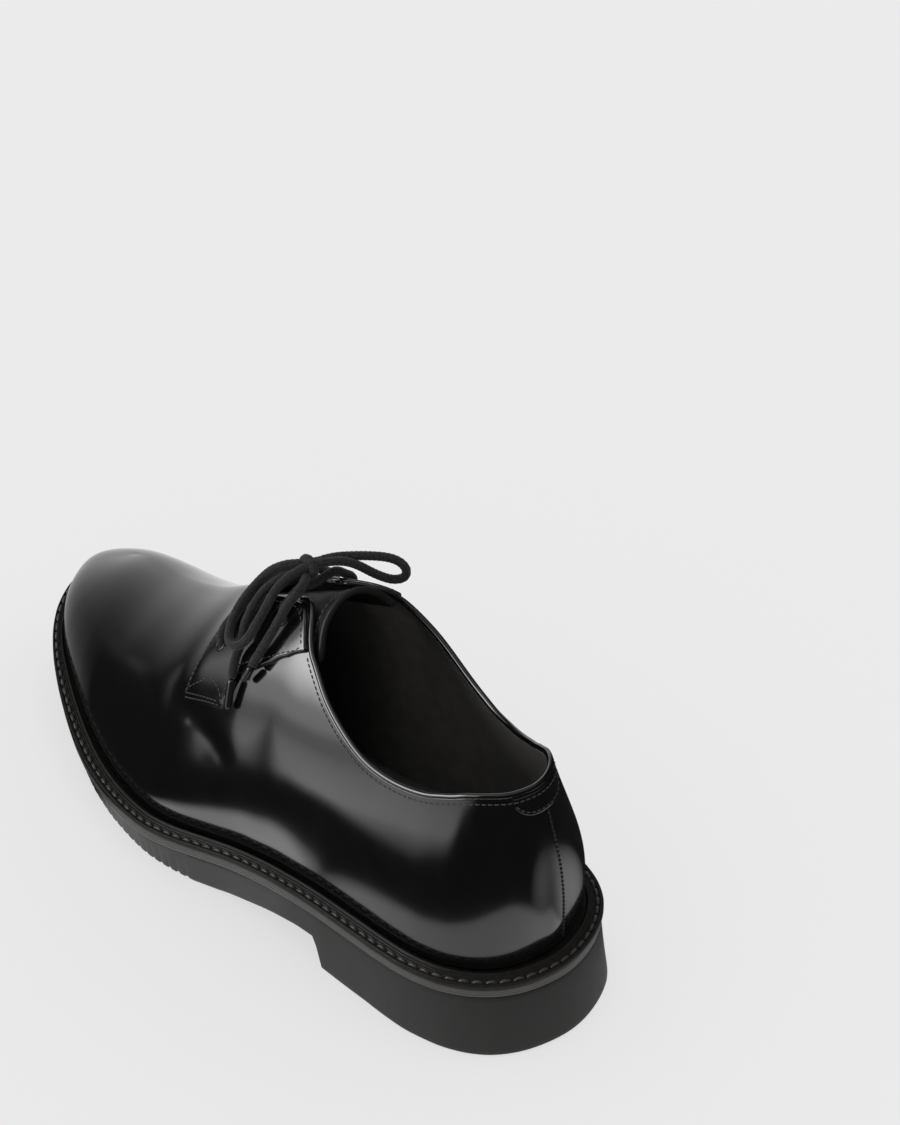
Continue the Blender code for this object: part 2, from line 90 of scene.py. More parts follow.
# Middle of the chamfer as shares of it: across, up
CHAMFER_MIDDLE = (0.7, 0.3)
# Grooves of the tread: width and softness as shares of the pitch, and how they fade at both ends
TREAD_GROOVE = (0.42, 0.2)
TREAD_FADE = (6.0, 8.0)
TREAD_STEPS = 8
OUTSOLE_CREASE = 40.0

GAP = 0.3
WELT_THICK = 2.4
MIDSOLE_THICK = 3.2
OUTSOLE_INSET = 0.9
# Section of the outsole's side over its chamfer: share of the height, inset beyond the straight side
OUTSOLE_SIDE = [(0.06, 0.0), (0.3, 0.12), (0.6, 0.15), (0.9, 0.05), (0.97, 0.12), (1.0, 0.45)]
# Section of the grey band: inset from the edge, height over its foot
BAND_SECTION = [
    (13, 0), (1.05, 0), (0.6, 0.25), (0.5, 0.6), (0.5, 1.05), (0.72, 1.2), (0.72, 1.35),
    (0.5, 1.5), (0.5, 2.1), (0.66, 2.22), (0.66, 2.34), (0.5, 2.46), (0.55, 2.9), (0.9, 3.2), (13, 3.2),
]
# Section of the welt: inset from the edge, height over its upper face; it narrows with the feather line
WELT_SECTION = [
    (0.5, -2.4), (0.1, -2.2), (0, -1.9), (0, -0.6), (0.12, -0.25), (0.4, 0), (0.9, 0.04),
    (1.2, -0.12), (1.45, -0.6), (2.95, -0.6), (3.2, -0.12), (3.4, 0.04), (3.6, 0), (3.75, -0.25),
    (3.9, 0.05), (4.1, 0.38), (4.35, 0.4), (4.55, 0.1), (4.75, 0.5), (5, 1), (5.4, 1.15),
    (5.75, 0.85), (5.95, 0.1), (6.5, -0.25), (13.5, 0), (13.5, -2.4),
]
WELT_STITCH_INSET = 2.2
WELT_STITCH_SINK = 0.2
RIM_SPACING = 0.7

# How far the foot of the upper lies inside the welt's edge: s, inset
FEATHER = [(0, 8.2), (30, 7.6), (60, 7.0), (230, 7.0), (262, 6.0), (285, 4.7), (302, 4.5)]
FEATHER_SIDE = 7.0
WALL = 2.0
SOCK_INSET = 10.2
SOCK_RISE = 3.0
SOCK_CUP = 1.6
SOCK_POINTS = 25
SOCK_THICK = 2.0

# Ridge over the vamp and the lacing: s, y, z
RIDGE = [
    (100, -1, 128), (120, -2, 123), (130, -2.6, 120), (140, -3.2, 116.5),
    (150, -3.8, 112), (160, -4.5, 106.8), (170, -5.2, 101.2), (180, -6, 95),
    (190, -7, 88.6), (200, -8.2, 82.6), (215, -10.2, 75.6), (230, -12.8, 70.2),
    (245, -15.6, 66.4), (255, -17.4, 63.6), (264, -18.8, 59.8), (272, -19.6, 55),
]
FAN_START = 222.0
FAN_END = 292.0
FAN_PULL = 0.42
# Share of the ridge's own slope that the profiles take on where they meet it
RIDGE_SHARE = 0.8
THROAT = 175.0
COLLAR_BLEND = 22.0
# Collar and lacing edge over the feather line: s, lateral inset, medial inset, lateral z, medial z
TOP_EDGE = [
    (0, 6.6, 6.6, 100, 100), (11, 6.8, 7, 100, 100), (15, 8.4, 9.2, 99.7, 99.6),
    (20, 10, 12, 98.9, 98.7), (30, 11.2, 14.8, 96.8, 96.2), (45, 10.2, 15, 92.8, 92.6),
    (60, 8.8, 13, 90.8, 90.9), (75, 8.6, 9.2, 91.6, 92.4), (90, 10.6, 5.2, 95.8, 98.8),
    (104, 14.8, 2.4, 101.6, 106), (116, 20.6, 2.6, 107.8, 111.6), (128, 28, 7, 113.2, 116.6),
    (138, 35.2, 14, 117, 119),
]
COLLAR_END = 138.0
# Half width of the lacing slot: s, y
SLOT = [(138, 8.0), (150, 7.0), (162, 5.6), (170, 3.8), (175, 1.6)]
SLOT_DROP = 0.012
# How each profile leaves the welt and arrives at the top: s, outward lean in degrees, length of the
# leaving handle as a share of the height, arriving angle over the level, length of that handle
PROFILE = [
    (0, 6, 0.40, 72, 0.38), (30, 9, 0.41, 72, 0.38), (60, 9, 0.40, 72, 0.40),
    (90, 10, 0.42, 62, 0.42), (110, 10, 0.44, 52, 0.45), (130, 9, 0.46, 40, 0.50),
    (150, 8, 0.46, 26, 0.55), (178, 7, 0.48, 14, 0.56), (200, 7, 0.52, 9, 0.56),
    (230, 7, 0.56, 4, 0.56), (260, 7, 0.53, 0, 0.54), (302, 11, 0.52, 0, 0.46),
]
# Outward lean of the lateral profiles, where the quarter stands straighter: s, degrees
LATERAL_LEAN = [
    (0, 6), (14, 2), (30, -2), (60, -3), (90, 1), (110, 5), (130, 8), (150, 8), (178, 7), (260, 7),
    (302, 11),
]
HEADING = 8.0
SKIN_ROWS = 72
PAD = 2
RELAX_ROUNDS = 70
RELAX_IN = 0.5
RELAX_OUT = -0.52

# Soft folds of the upper: depth (negative is a ridge), half width, line as (s, rise) on the lateral side
FOLDS = [
    (0.5, 9, [(175, 0.46), (168, 0.44), (162, 0.415), (156, 0.385), (151, 0.35)]),
    (0.35, 4, [(170, 0.46), (162, 0.432), (155, 0.405), (148, 0.37), (143, 0.335)]),
]
FOLD_SPACING = 2.0
# Back seam: rise, reach round the heel from the middle of the sole's back (negative is the inner side)
BACK_SEAM = [
    (0.02, -7.3), (0.15, -6.3), (0.27, -5.7), (0.39, -5.1), (0.51, -4.6), (0.63, -3.9), (0.75, -3.3),
    (1, -2.6),
]
SEAM_FOOT = 0.03
SEAM_GAP = 0.005
SEAM_POINTS = 120

# Lacing flaps: front edge as s at the foot and at the top, rear edge as s
FACING_CROWN = 1.5
FACING_ROUND = 1.0
FACING_SINK = 0.25
FACING_TOP = 0.985
FACING_FRONT = (170.4, 168.2)
FACING_REAR = 119.0
FACING_COLUMNS = 110
FACING_RISES = 60
FACING_MARGINS = (0.02, 0.035)
PILLOW_THICK = 0.9
# Foot of a flap: share of the way from its front edge to its rear edge, rise up the profile
FACING_FOOT = [
    (0, 0.48), (0.12, 0.483), (0.24, 0.487), (0.35, 0.492), (0.455, 0.497), (0.477, 0.638),
    (0.53, 0.65), (0.63, 0.69), (0.74, 0.738), (0.856, 0.822), (1, 0.975),
]

TONGUE_THICK = 2.0
# Free end of the tongue, from the outer side over the crown to the inner side: s, y, z
TONGUE_END = [
    (116.7, 15, 105.1), (118, 13, 109.4), (120.4, 9.5, 115), (121.7, 4.6, 120.1), (122.1, -1, 123),
    (122, -7.5, 123), (121.2, -13.3, 120.8), (119.6, -18.5, 116.5), (117.3, -22, 112.3),
]
TONGUE_FRONT = 176.0
TONGUE_NARROW = 0.6
TONGUE_ARCH = 0.026
TONGUE_SINK = 5.8
TONGUE_ROWS = 40
TONGUE_SPACING = 1.0
TONGUE_BEAD = 1.15
TONGUE_BEAD_DROP = 0.9
# Stitch row of the tongue: share of the way to its front, direction of its face
TONGUE_ROW = 0.075
TONGUE_ROW_UP = (-0.3, 0.0, 0.95)

TAB_CROWN = 0.5
TAB_ROUND = 0.8
TAB_SINK = 0.2
TAB_MIDDLE = -3.0
TAB_REACH = 15.0
TAB_FOOT = 0.868
TAB_END_FOOT = 0.945
TAB_TOP = 0.985
TAB_COLUMNS = 60
TAB_RISES = 24
TAB_MARGINS = (0.02, 0.05)

BINDING_RADIUS = 1.15
BINDING_SINK = 0.9
BINDING_RISE = 0.25
BINDING_BEYOND = 1.0
BINDING_POINTS = 500

# Stitches: pitch, length, radius of the thread, dip of the ends
WELT_STITCH = (4.9, 4.2, 0.75, 0.75)
FLAP_STITCH = (2.2, 1.7, 0.26, 0.16)
COLLAR_STITCH = (2.3, 1.8, 0.27, 0.16)
TONGUE_STITCH = (2.6, 2.0, 0.28, 0.2)
SEAM_STITCH = (1.9, 1.5, 0.5, 0.25)
STITCH_SIDES = 6
STITCH_SHARES = (-1.0, -0.8, -0.4, 0.0, 0.4, 0.8, 1.0)
STITCH_TIP = 0.04
STITCH_LIFT = 0.1
FLAP_ROW_LIFT = 0.05
FLAP_ROW_SPACING = 0.5
COLLAR_ROW_DROP = 2.4
COLLAR_ROW_POINTS = 600
# Stitch row of the heel tab: its reach as a share of the tab's, its rise over the tab's foot
TAB_ROW_REACH = 0.95
TAB_ROW_RISE = 0.02
TAB_ROW_POINTS = 160
# Stitch rows on each lacing flap as (s, rise) places: along its foot, its step, its rear and front edges
FLAP_ROWS = [
    [(168.6, 0.495), (162, 0.5), (155.2, 0.505), (148.6, 0.508)],
    [(168.8, 0.511), (162.8, 0.515), (157.2, 0.518), (150.4, 0.52)],
    [(169.2, 0.516), (166.8, 0.542), (162.4, 0.57), (159.2, 0.59), (154, 0.574), (150, 0.546),
     (147.8, 0.514)],
    [(148.2, 0.512), (148.4, 0.56), (148.6, 0.652)],
    [(147.5, 0.666), (142, 0.702), (136.8, 0.734), (131.6, 0.774), (125.2, 0.862), (121.6, 0.944)],
    [(168.9, 0.51), (168.6, 0.64), (167.8, 0.8), (167, 0.95)],
    [(121.8, 0.95), (126, 0.95), (131, 0.953), (137, 0.958)],
    [(167, 0.955), (160, 0.95), (150, 0.95), (139, 0.957)],
]

LACE_RADIUS = 1.75
LACE_SIDES = 24
LACE_SPACING = 0.45
LACE_DOME = 0.8
BRAID_STRANDS = 4
BRAID_PITCH = 3.4
BRAID_HEIGHT = 0.11
# Lace bars between the eyelets: s, rise of the lateral eyelet, rise of the medial eyelet
LACE_BARS = [(161.5, 0.715, 0.80), (149.5, 0.815, 0.82), (137.5, 0.89, 0.87)]
# Points of a lace bar from its eyelet to the middle: lift off the upper, and rise of the first two
BAR_LIFTS = [-1.0, 2.0, 3.5, 3.5, 3.5, 3.5]
BAR_STEPS = (0.012, 0.035)
EYELET_RADIUS = 2.15
EYELET_WIRE = 0.45
EYELET_POINTS = 33
EYELET_SIDES = 8
KNOT_AT = (140.3, -0.9, 126.0)
LOOP_LATERAL = [
    (146.2, 1.8, 125.8), (151.2, 5.8, 122.8), (155, 9.8, 117.4), (155.8, 15.3, 113.2),
    (155.6, 20.2, 109), (153.6, 25, 105.1), (150.2, 28.3, 102.8), (145.8, 29.3, 103.3),
    (142.4, 27.4, 106.4), (141.4, 23.4, 111.4), (142, 17.4, 116.9), (143.2, 11, 121.2),
    (141.8, 4.8, 125.2),
]
LOOP_MEDIAL = [
    (139.8, -6, 126.6), (138.4, -10.6, 126.5), (135.2, -16.2, 126.2), (131.2, -23, 125),
    (128, -28.2, 123.4),
    (125.4, -31.6, 121), (123.6, -32.8, 118), (124, -32.2, 115.2), (125.6, -29.8, 114.4),
    (127.6, -26, 116),
    (129.8, -22, 119), (131.6, -18, 122.6), (133.6, -12.5, 126.3), (136.2, -4.6, 128.4),
]
END_FRONT = [
    (147.4, 4.6, 121), (149.4, 9, 118.4), (150, 13.6, 115.6), (149.6, 18.2, 111.8), (149, 22, 107.2),
    (147.8, 24.6, 102), (147.6, 27.1, 97.9), (146.5, 29.7, 94.8), (145, 32.1, 90.8), (143.9, 34.1, 86.3),
    (142.7, 36.5, 80.4),
]
END_REAR = [
    (135.2, 8.5, 122), (135, 12.5, 119.8), (135.2, 16.2, 116), (135.6, 19.4, 111.7), (136, 22.6, 107.7),
    (136.7, 25.8, 103.2), (137.7, 28.7, 98.2), (138.8, 30.1, 95), (139.9, 31.3, 92.2),
]
# An aglet covers the last points of a lace end
AGLET_POINTS = 3
AGLET_RADIUS = 1.45
AGLET_SPACING = 0.4
AGLET_SIDES = 20
# Strands inside the knot, which join the loops and the ends
KNOT_STRANDS = [
    [(147.2, 2.6, 125.4), (144.6, 0.6, 126), (142, -2.2, 126.4), (139.9, -5.4, 126.6), (139.5, -7, 126.6)],
    [(142.1, 5.8, 124.6), (140.8, 2.4, 126.2), (138.6, -1.4, 127.6), (136.6, -4.2, 128.3),
     (135.6, -5.4, 128.4)],
    [(148, 5.8, 120.4), (146, 3, 122.2), (143.2, 0.6, 123.4), (139.6, -0.8, 123.6)],
    [(135.2, 9.6, 121.4), (135.9, 6.2, 123), (137.8, 2.4, 124), (140.8, -0.6, 123.8)],
]
KNOT_WRAP = (3.3, 3.0)
KNOT_WRAP_STEP = 1.6
KNOT_TURNS = 1.06
KNOT_START = 0.2
KNOT_POINTS = 60
KNOT_SKIP = 4

# Photograph's viewpoint: turn and tilt in degrees, aim point, distance, shift of the eye, focal length
CAMERA_TURN = 227.2
CAMERA_TILT = 35.0
CAMERA_AIM = (144.0, 5.568, 28.8)
CAMERA_DISTANCE = 1440.0
CAMERA_RIGHT = 57.696
CAMERA_UP = 82.176
CAMERA_LENS = 124.704
CAMERA_SENSOR = 36.0

# Finishes of one pattern: specular level, clouds as size and detail, grain as size and detail or as the
# size of pores alone, dark and light as grey and warmth, roughness and its spread, bump and its strength
PLAIN_FINISHES = {
    "lining_leather": (0.35, (6.0, 4.0), (0.7,), (0.045, 0.04), (0.1, 0.06), (0.62, 0.25), (0.2, 0.5)),
    "tongue_leather": (0.3, (5.0, 3.0), (0.5, 2.0), (0.007, 0.04), (0.016, 0.05), (0.4, 0.12), (0.05, 0.3)),
    "welt_leather": (0.12, (2.2, 4.0), (0.4, 3.0), (0.007, 0.06), (0.02, 0.1), (0.3, 0.2), (0.08, 0.5)),
    "grey_band": (0.2, (5.0, 4.0), (0.35, 2.0), (0.066, 0.03), (0.094, 0.04), (0.3, 0.16), (0.05, 0.35)),
    "rubber": (0.3, (7.0, 4.0), (0.5, 3.0), (0.014, 0.03), (0.025, 0.05), (0.5, 0.2), (0.12, 0.5)),
    "waxed_thread": (0.5, (0.3, 2.0), (0.3, 2.0), (0.028, 0.0), (0.05, 0.03), (0.38, 0.2), (0.06, 0.4)),
}

# Studio, in metres and as brightness where white paint in full light is 1
FLOOR_HALF = 6.0
FLOOR_LEVEL = -0.0003
FLOOR_PAINT = 0.25
FLOOR_GLOW = 0.63
SKY_GLOW = 0.8
DARK_GLOW = 0.01
# Bright pools on the mirrored floor: centre x and y, half length, half width, share that is full, glow
POOLS = [
    (-0.12, 0.032, 0.106, 0.086, 0.8, 0.9),
    (0.012, 0.018, 0.06, 0.066, 0.75, 1.3),
    (-0.205, -0.075, 0.095, 0.065, 0.1, 0.7),
]
# Light beyond the toe, on the mirrored floor and the room: its directions in radians and its glow
FRONT_LIGHT = (-0.42, 0.24)
FRONT_END = (-1.2, -0.9)
FRONT_GLOW = 0.82
# Window light on the mirrored floor: where it starts, the edges' offsets and slants, how soft they are
WINDOW_NEAR = (0.145, 0.185)
WINDOW_RIGHT = (-0.095, 1.0)
WINDOW_SOFT = (-0.015, 0.015)
WINDOW_LEFT = (0.06, 0.16, 0.55)
WINDOW_END = (-0.06, 0.0, 0.15)
WINDOW_FAR = (0.2, 0.9)
WINDOW_GLOW = 1.5
WINDOW_DIM = 0.6
SOFTBOX_GLOW = 7.0
# Wall over the lacing: its lowest heights as shares, its first and last directions in radians, its glow
WALL_LOW = (0.03, 0.1)
WALL_FIRST = (0.2, 0.38)
WALL_LAST = (1.0, 1.4)
WALL_GLOW = 0.9
TOP_GLOW = 0.4
# Dome of the room: heights as shares where the front light ends, the softbox starts and ends and the top
# light starts, and the window's edges as offsets and slant
FRONT_HIGH = (0.4, 0.6)
SOFTBOX_LOW = (0.2, 0.4)
SOFTBOX_HIGH = (0.62, 0.7)
TOP_LOW = (0.7, 0.85)
ROOM_LEFT = (-0.04, 0.08, 0.8)
ROOM_RIGHT = (0.0, 0.2, 0.05)
DOME_RADIUS = 3.0
DOME_TILTS = (-0.05, math.pi / 2 - 0.01)
DOME_LEVELS = 20
DOME_SIDES = 64


def to_part(points):
    return (np.asarray(points, float) - [ORIGIN[0], ORIGIN[1], 0]) * MM


def unit(vectors):
    return vectors / np.linalg.norm(vectors, axis=-1)[..., None]


def spline(table, s, column=1):
    """A smooth curve through a table's column, level beyond its ends."""
    rows = np.array(table, float)
    x, y = rows[:, 0], rows[:, column]
    step = np.diff(x)
    count = len(x)
    system = np.eye(count)
    pull = np.zeros(count)
    for i in range(1, count - 1):
        system[i, i - 1 : i + 2] = step[i - 1], 2 * (step[i - 1] + step[i]), step[i]
        pull[i] = 6 * ((y[i + 1] - y[i]) / step[i] - (y[i] - y[i - 1]) / step[i - 1])
    bend = np.linalg.solve(system, pull)
    s = np.clip(np.asarray(s, float), x[0], x[-1])
    k = np.clip(np.searchsorted(x, s, side="right") - 1, 0, count - 2)
    a = (x[k + 1] - s) / step[k]
    b = 1 - a
    curve = (a**3 - a) * bend[k] + (b**3 - b) * bend[k + 1]
    return a * y[k] + b * y[k + 1] + curve * step[k] ** 2 / 6


def straight(table, s):
    rows = np.array(table, float)
    return np.interp(s, rows[:, 0], rows[:, 1])


def run_of(line):
    """Distance along a line of points."""
    return np.r_[0, np.cumsum(np.linalg.norm(np.diff(line, axis=0), axis=1))]


def along_line(line, at, values=None):
    """Points, or other values of a line's points, at the given distances along it."""
    run = run_of(line)
    values = line if values is None else values
    return np.stack([np.interp(at, run, column) for column in values.T], 1)


def smooth_line(route, spacing):
    """A smooth curve through a route's points, with points at an even spacing."""
    route = np.array(route, float)
    table = np.c_[run_of(route), route]
    fine = np.linspace(0, table[-1, 0], FINE_POINTS * len(route))
    line = np.stack([spline(table, fine, c) for c in (1, 2, 3)], 1)
    length = run_of(line)[-1]
    return along_line(line, np.linspace(0, length, max(int(length / spacing) + 1, 3)))


def distance_to(line, grid):
    """Distance of each point of a grid from the nearest point of a line."""
    away = np.full(grid.shape[:2], np.inf)
    for point in line:
        away = np.minimum(away, np.linalg.norm(grid - point, axis=2))
    return away


def smoothstep(x):
    x = np.clip(x, 0, 1)
    return x * x * (3 - 2 * x)


class Rim:
    """The sole's edge seen from above, with inward normals and the deck's height at each point."""

    def __init__(self, plan):
        self.plan = plan
        self.count = len(plan)
        ahead = unit(np.roll(plan, -1, axis=0) - np.roll(plan, 1, axis=0))
        # The ring runs clockwise seen from above, so inward is to the right
        self.inward = np.stack([ahead[:, 1], -ahead[:, 0]], 1)
        self.deck = spline(DECK, plan[:, 0])

    def at(self, inset, height):
        return np.c_[self.plan + self.inward * np.asarray(inset, float).reshape(-1, 1), height]


def dense_edge():
    """The sole's edge as a fine closed polyline from the back of the heel, with its corners blurred."""
    closed = np.array(EDGE_LATERAL + EDGE_MEDIAL[-2::-1], float)
    fine = along_line(closed, np.arange(0, run_of(closed)[-1], EDGE_STEP))
    reach = np.arange(-EDGE_REACH, EDGE_REACH + 1)
    weight = np.exp(-0.5 * (reach * EDGE_STEP / EDGE_BLUR) ** 2)
    weight /= weight.sum()
    fine = sum(w * np.roll(fine, -r, axis=0) for w, r in zip(weight, reach))
    return np.roll(fine, -np.argmin(fine[:, 0]), axis=0)


def even_rim(spacing):
    fine = dense_edge()
    closed = np.r_[fine, fine[:1]]
    length = run_of(closed)[-1]
    return Rim(along_line(closed, np.linspace(0, length, round(length / spacing), endpoint=False)))


def station_rim(share):
    """A rim whose lateral and medial points lie in pairs at the same places along the sole."""
    fine = dense_edge()
    tip = np.argmax(fine[:, 0])
    s = fine[0, 0] + share * (fine[tip, 0] - fine[0, 0])
    lateral = fine[: tip + 1]
    medial = np.r_[fine[tip:], fine[:1]][::-1]
    sides = [np.stack([s, np.interp(s, side[:, 0], side[:, 1])], 1) for side in (lateral, medial)]
    return Rim(np.r_[sides[0], sides[1][-2:0:-1]])


def heel_and_waist(heel, waist):
    """Places along the sole up to the forefoot, close together at the back of the heel."""
    back = BREAST[0] * (1 - np.cos(np.linspace(0, math.pi / 2, heel)))
    return np.r_[back, np.linspace(BREAST[1], FOREFOOT, waist)]


def toe_stations(start, count):
    return start + (SOLE_LENGTH - start) * np.sin(np.linspace(0, math.pi / 2, count)[1:])


def upper_stations():
    heel, waist, front = UPPER_COUNTS
    return np.r_[heel_and_waist(heel, waist), toe_stations(FOREFOOT, front)] / SOLE_LENGTH


def outsole_stations():
    heel, waist, toe = OUTSOLE_COUNTS
    tread = np.arange(FOREFOOT, TREAD_END, TREAD_PITCH / TREAD_STEPS)[1:]
    return np.r_[heel_and_waist(heel, waist), tread, toe_stations(TREAD_END, toe)] / SOLE_LENGTH


RIM = station_rim(upper_stations())
COUNT = RIM.count
HALF = COUNT // 2


def ridge_place(s):
    """Where the ridge takes the profiles that start at s: they fan out round the toe."""
    beyond = np.maximum(s - FAN_START, 0)
    return s - FAN_PULL * beyond * beyond / (FAN_END - FAN_START)


class Skin:
    """The upper's outer face as a fine grid of ring places by rises, smooth over the ridge."""

    def __init__(self):
        plan = RIM.plan + RIM.inward * spline(FEATHER, RIM.plan[:, 0])[:, None]
        self.feet = np.c_[plan, RIM.deck + GAP]
        self.partner = -np.arange(COUNT) % COUNT
        self.middle = (plan[:, 0] + plan[self.partner, 0]) / 2
        self.closed = self.middle >= THROAT
        self.grid = self.relaxed(self.profiles(np.linspace(0, 1, SKIN_ROWS)))
        self.refresh()
        self.grid = self.folded()
        self.refresh()

    def top_edge(self):
        s = self.middle
        side = np.where(np.arange(COUNT) <= HALF, 1.0, -1.0)
        inset = np.where(side > 0, spline(TOP_EDGE, s, 1), spline(TOP_EDGE, s, 2))
        rise = np.where(side > 0, spline(TOP_EDGE, s, 3), spline(TOP_EDGE, s, 4))
        collar = np.c_[self.feet[:, :2] + RIM.inward * inset[:, None], rise]
        place = ridge_place(s)
        half_slot = np.where(self.closed, 0.0, spline(SLOT, s))
        across = spline(RIDGE, place, 1) + side * half_slot
        ridge = np.c_[place, across, spline(RIDGE, place, 2) - SLOT_DROP * half_slot**2]
        blend = smoothstep((s - COLLAR_END) / COLLAR_BLEND + 1)[:, None]
        return collar * (1 - blend) + ridge * blend

    def profiles(self, rises):
        foot, top, s = self.feet, self.top_edge(), self.middle
        run = top[:, :2] - foot[:, :2]
        width = np.linalg.norm(run, axis=1)
        level = unit(run + RIM.inward * HEADING)
        height = top[:, 2] - foot[:, 2]
        medial = np.arange(COUNT) > HALF
        lean = np.radians(np.where(medial, spline(PROFILE, s, 1), spline(LATERAL_LEAN, s)))
        place = ridge_place(s)
        slope = (spline(RIDGE, place + 1, 2) - spline(RIDGE, place - 1, 2)) / 2
        follow = np.where(self.closed, RIDGE_SHARE * np.arctan(slope * level[:, 0]), 0.0)
        arrive = np.radians(spline(PROFILE, s, 3)) + follow
        leave = spline(PROFILE, s, 2) * height
        come = spline(PROFILE, s, 4) * np.hypot(width * np.cos(arrive), height * np.sin(arrive))
        out = np.c_[level, np.zeros(COUNT)]
        up = np.array([0.0, 0.0, 1.0])
        first = foot - out * (leave * np.sin(lean))[:, None] + up * (leave * np.cos(lean))[:, None]
        second = top - out * (come * np.cos(arrive))[:, None] - up * (come * np.sin(arrive))[:, None]
        v = rises[None, :, None]
        w = 1 - v
        ends = w**3 * foot[:, None] + v**3 * top[:, None]
        return ends + 3 * w * w * v * first[:, None] + 3 * w * v * v * second[:, None]

    def padded(self, grid):
        """The grid with rows added at foot and top: over a closed ridge, they are the other side's."""
        below = 2 * grid[:, :1] - grid[:, PAD:0:-1]
        over = 2 * grid[:, -1:] - grid[:, -2 : -2 - PAD : -1]
        across = grid[self.partner][:, -2 : -2 - PAD : -1]
        over = np.where(self.closed[:, None, None], across, over)
        return np.concatenate([below, grid, over], 1)

    def relaxed(self, grid):
        """Evens out small kinks and the crease along the ridge without shrinking the shape."""
        free = np.ones(grid.shape[:2], bool)
        free[:, 0] = False
        free[~self.closed, -1] = False
        for _ in range(RELAX_ROUNDS):
            for share in (RELAX_IN, RELAX_OUT):
                wide = self.padded(grid)
                beside = wide[:, PAD - 1 : -PAD - 1] + wide[:, PAD + 1 : wide.shape[1] - PAD + 1]
                around = np.roll(grid, 1, axis=0) + np.roll(grid, -1, axis=0)
                move = ((beside + around) / 4 - grid) * share
                grid = grid + move * free[..., None]
        return grid

    def folded(self):
        """Presses the soft folds into the grid."""
        depth = np.zeros(self.grid.shape[:2])
        for deep, half, line in FOLDS:
            line = np.array(line)
            places = self.at(self.place_of(line[:, 0], 1), line[:, 1])
            path = smooth_line(places, FOLD_SPACING)
            away = distance_to(path, self.grid)
            depth += deep * np.exp(-((away / half) ** 2))
        return self.grid - self.normals[:, PAD:-PAD] * depth[..., None]

    def refresh(self):
        self.points = self.padded(self.grid)
        along = np.roll(self.points, -1, axis=0) - np.roll(self.points, 1, axis=0)
        out = np.cross(np.gradient(self.points, axis=1), along)
        tip = SKIN_ROWS + PAD - 1
        out[HALF, tip] = out[HALF - 1, tip] + out[HALF + 1, tip]
        self.normals = unit(out)

    def sample(self, field, k, v):
        k, v = np.broadcast_arrays(np.asarray(k, float) % COUNT, np.asarray(v, float))
        r = v * (SKIN_ROWS - 1) + PAD
        low_k, low_r = np.floor(k).astype(int), np.floor(r).astype(int)
        low_r = np.minimum(low_r, SKIN_ROWS + PAD - 1)
        weights_k, weights_r = bend_weights(k - low_k), bend_weights(r - low_r)
        total = 0.0
        for i in range(4):
            for j in range(4):
                weight = weights_k[i] * weights_r[j]
                total = total + field[(low_k + i - 1) % COUNT, low_r + j - 1] * weight[..., None]
        return total

    def at(self, k, v, lift=0.0):
        """A point at ring place k and rise v, lifted off the face."""
        return self.sample(self.points, k, v) + self.normal(k, v) * np.asarray(lift, float)[..., None]

    def normal(self, k, v):
        return unit(self.sample(self.normals, k, v))

    def place_of(self, s, side):
        """The ring place on one side whose profiles start at s: side is 1 lateral, -1 medial."""
        k = np.interp(s, self.middle[: HALF + 1], np.arange(HALF + 1))
        return k if side > 0 else COUNT - k

    def place_round_heel(self, reach):
        """The ring place that lies reach from the middle of the heel, measured along the feather line."""
        around = np.r_[self.feet[HALF:], self.feet[:HALF]][:, :2]
        run = run_of(around)
        run -= run[COUNT - HALF]
        return np.interp(reach, run, np.arange(COUNT) - (COUNT - HALF))


def bend_weights(t):
    """Weights of four neighbouring samples for a smooth curve between the middle two."""
    first = -0.5 * t + t**2 - 0.5 * t**3
    second = 1 - 2.5 * t**2 + 1.5 * t**3
    third = 0.5 * t + 2 * t**2 - 1.5 * t**3
    return first, second, third, 1 - first - second - third


SKIN = Skin()


class Tone:
    """A value on a finish: arithmetic on it adds Math nodes."""

    def __init__(self, finish, socket):
        self.finish = finish
        self.socket = socket

    def math(self, operation, other):
        return self.finish.node("ShaderNodeMath", {"operation": operation}, {0: self, 1: other})

    def __add__(self, other):
        return self.math("ADD", other)

    __radd__ = __add__

    def __sub__(self, other):
        return self.math("SUBTRACT", other)

    def __mul__(self, other):
        return self.math("MULTIPLY", other)


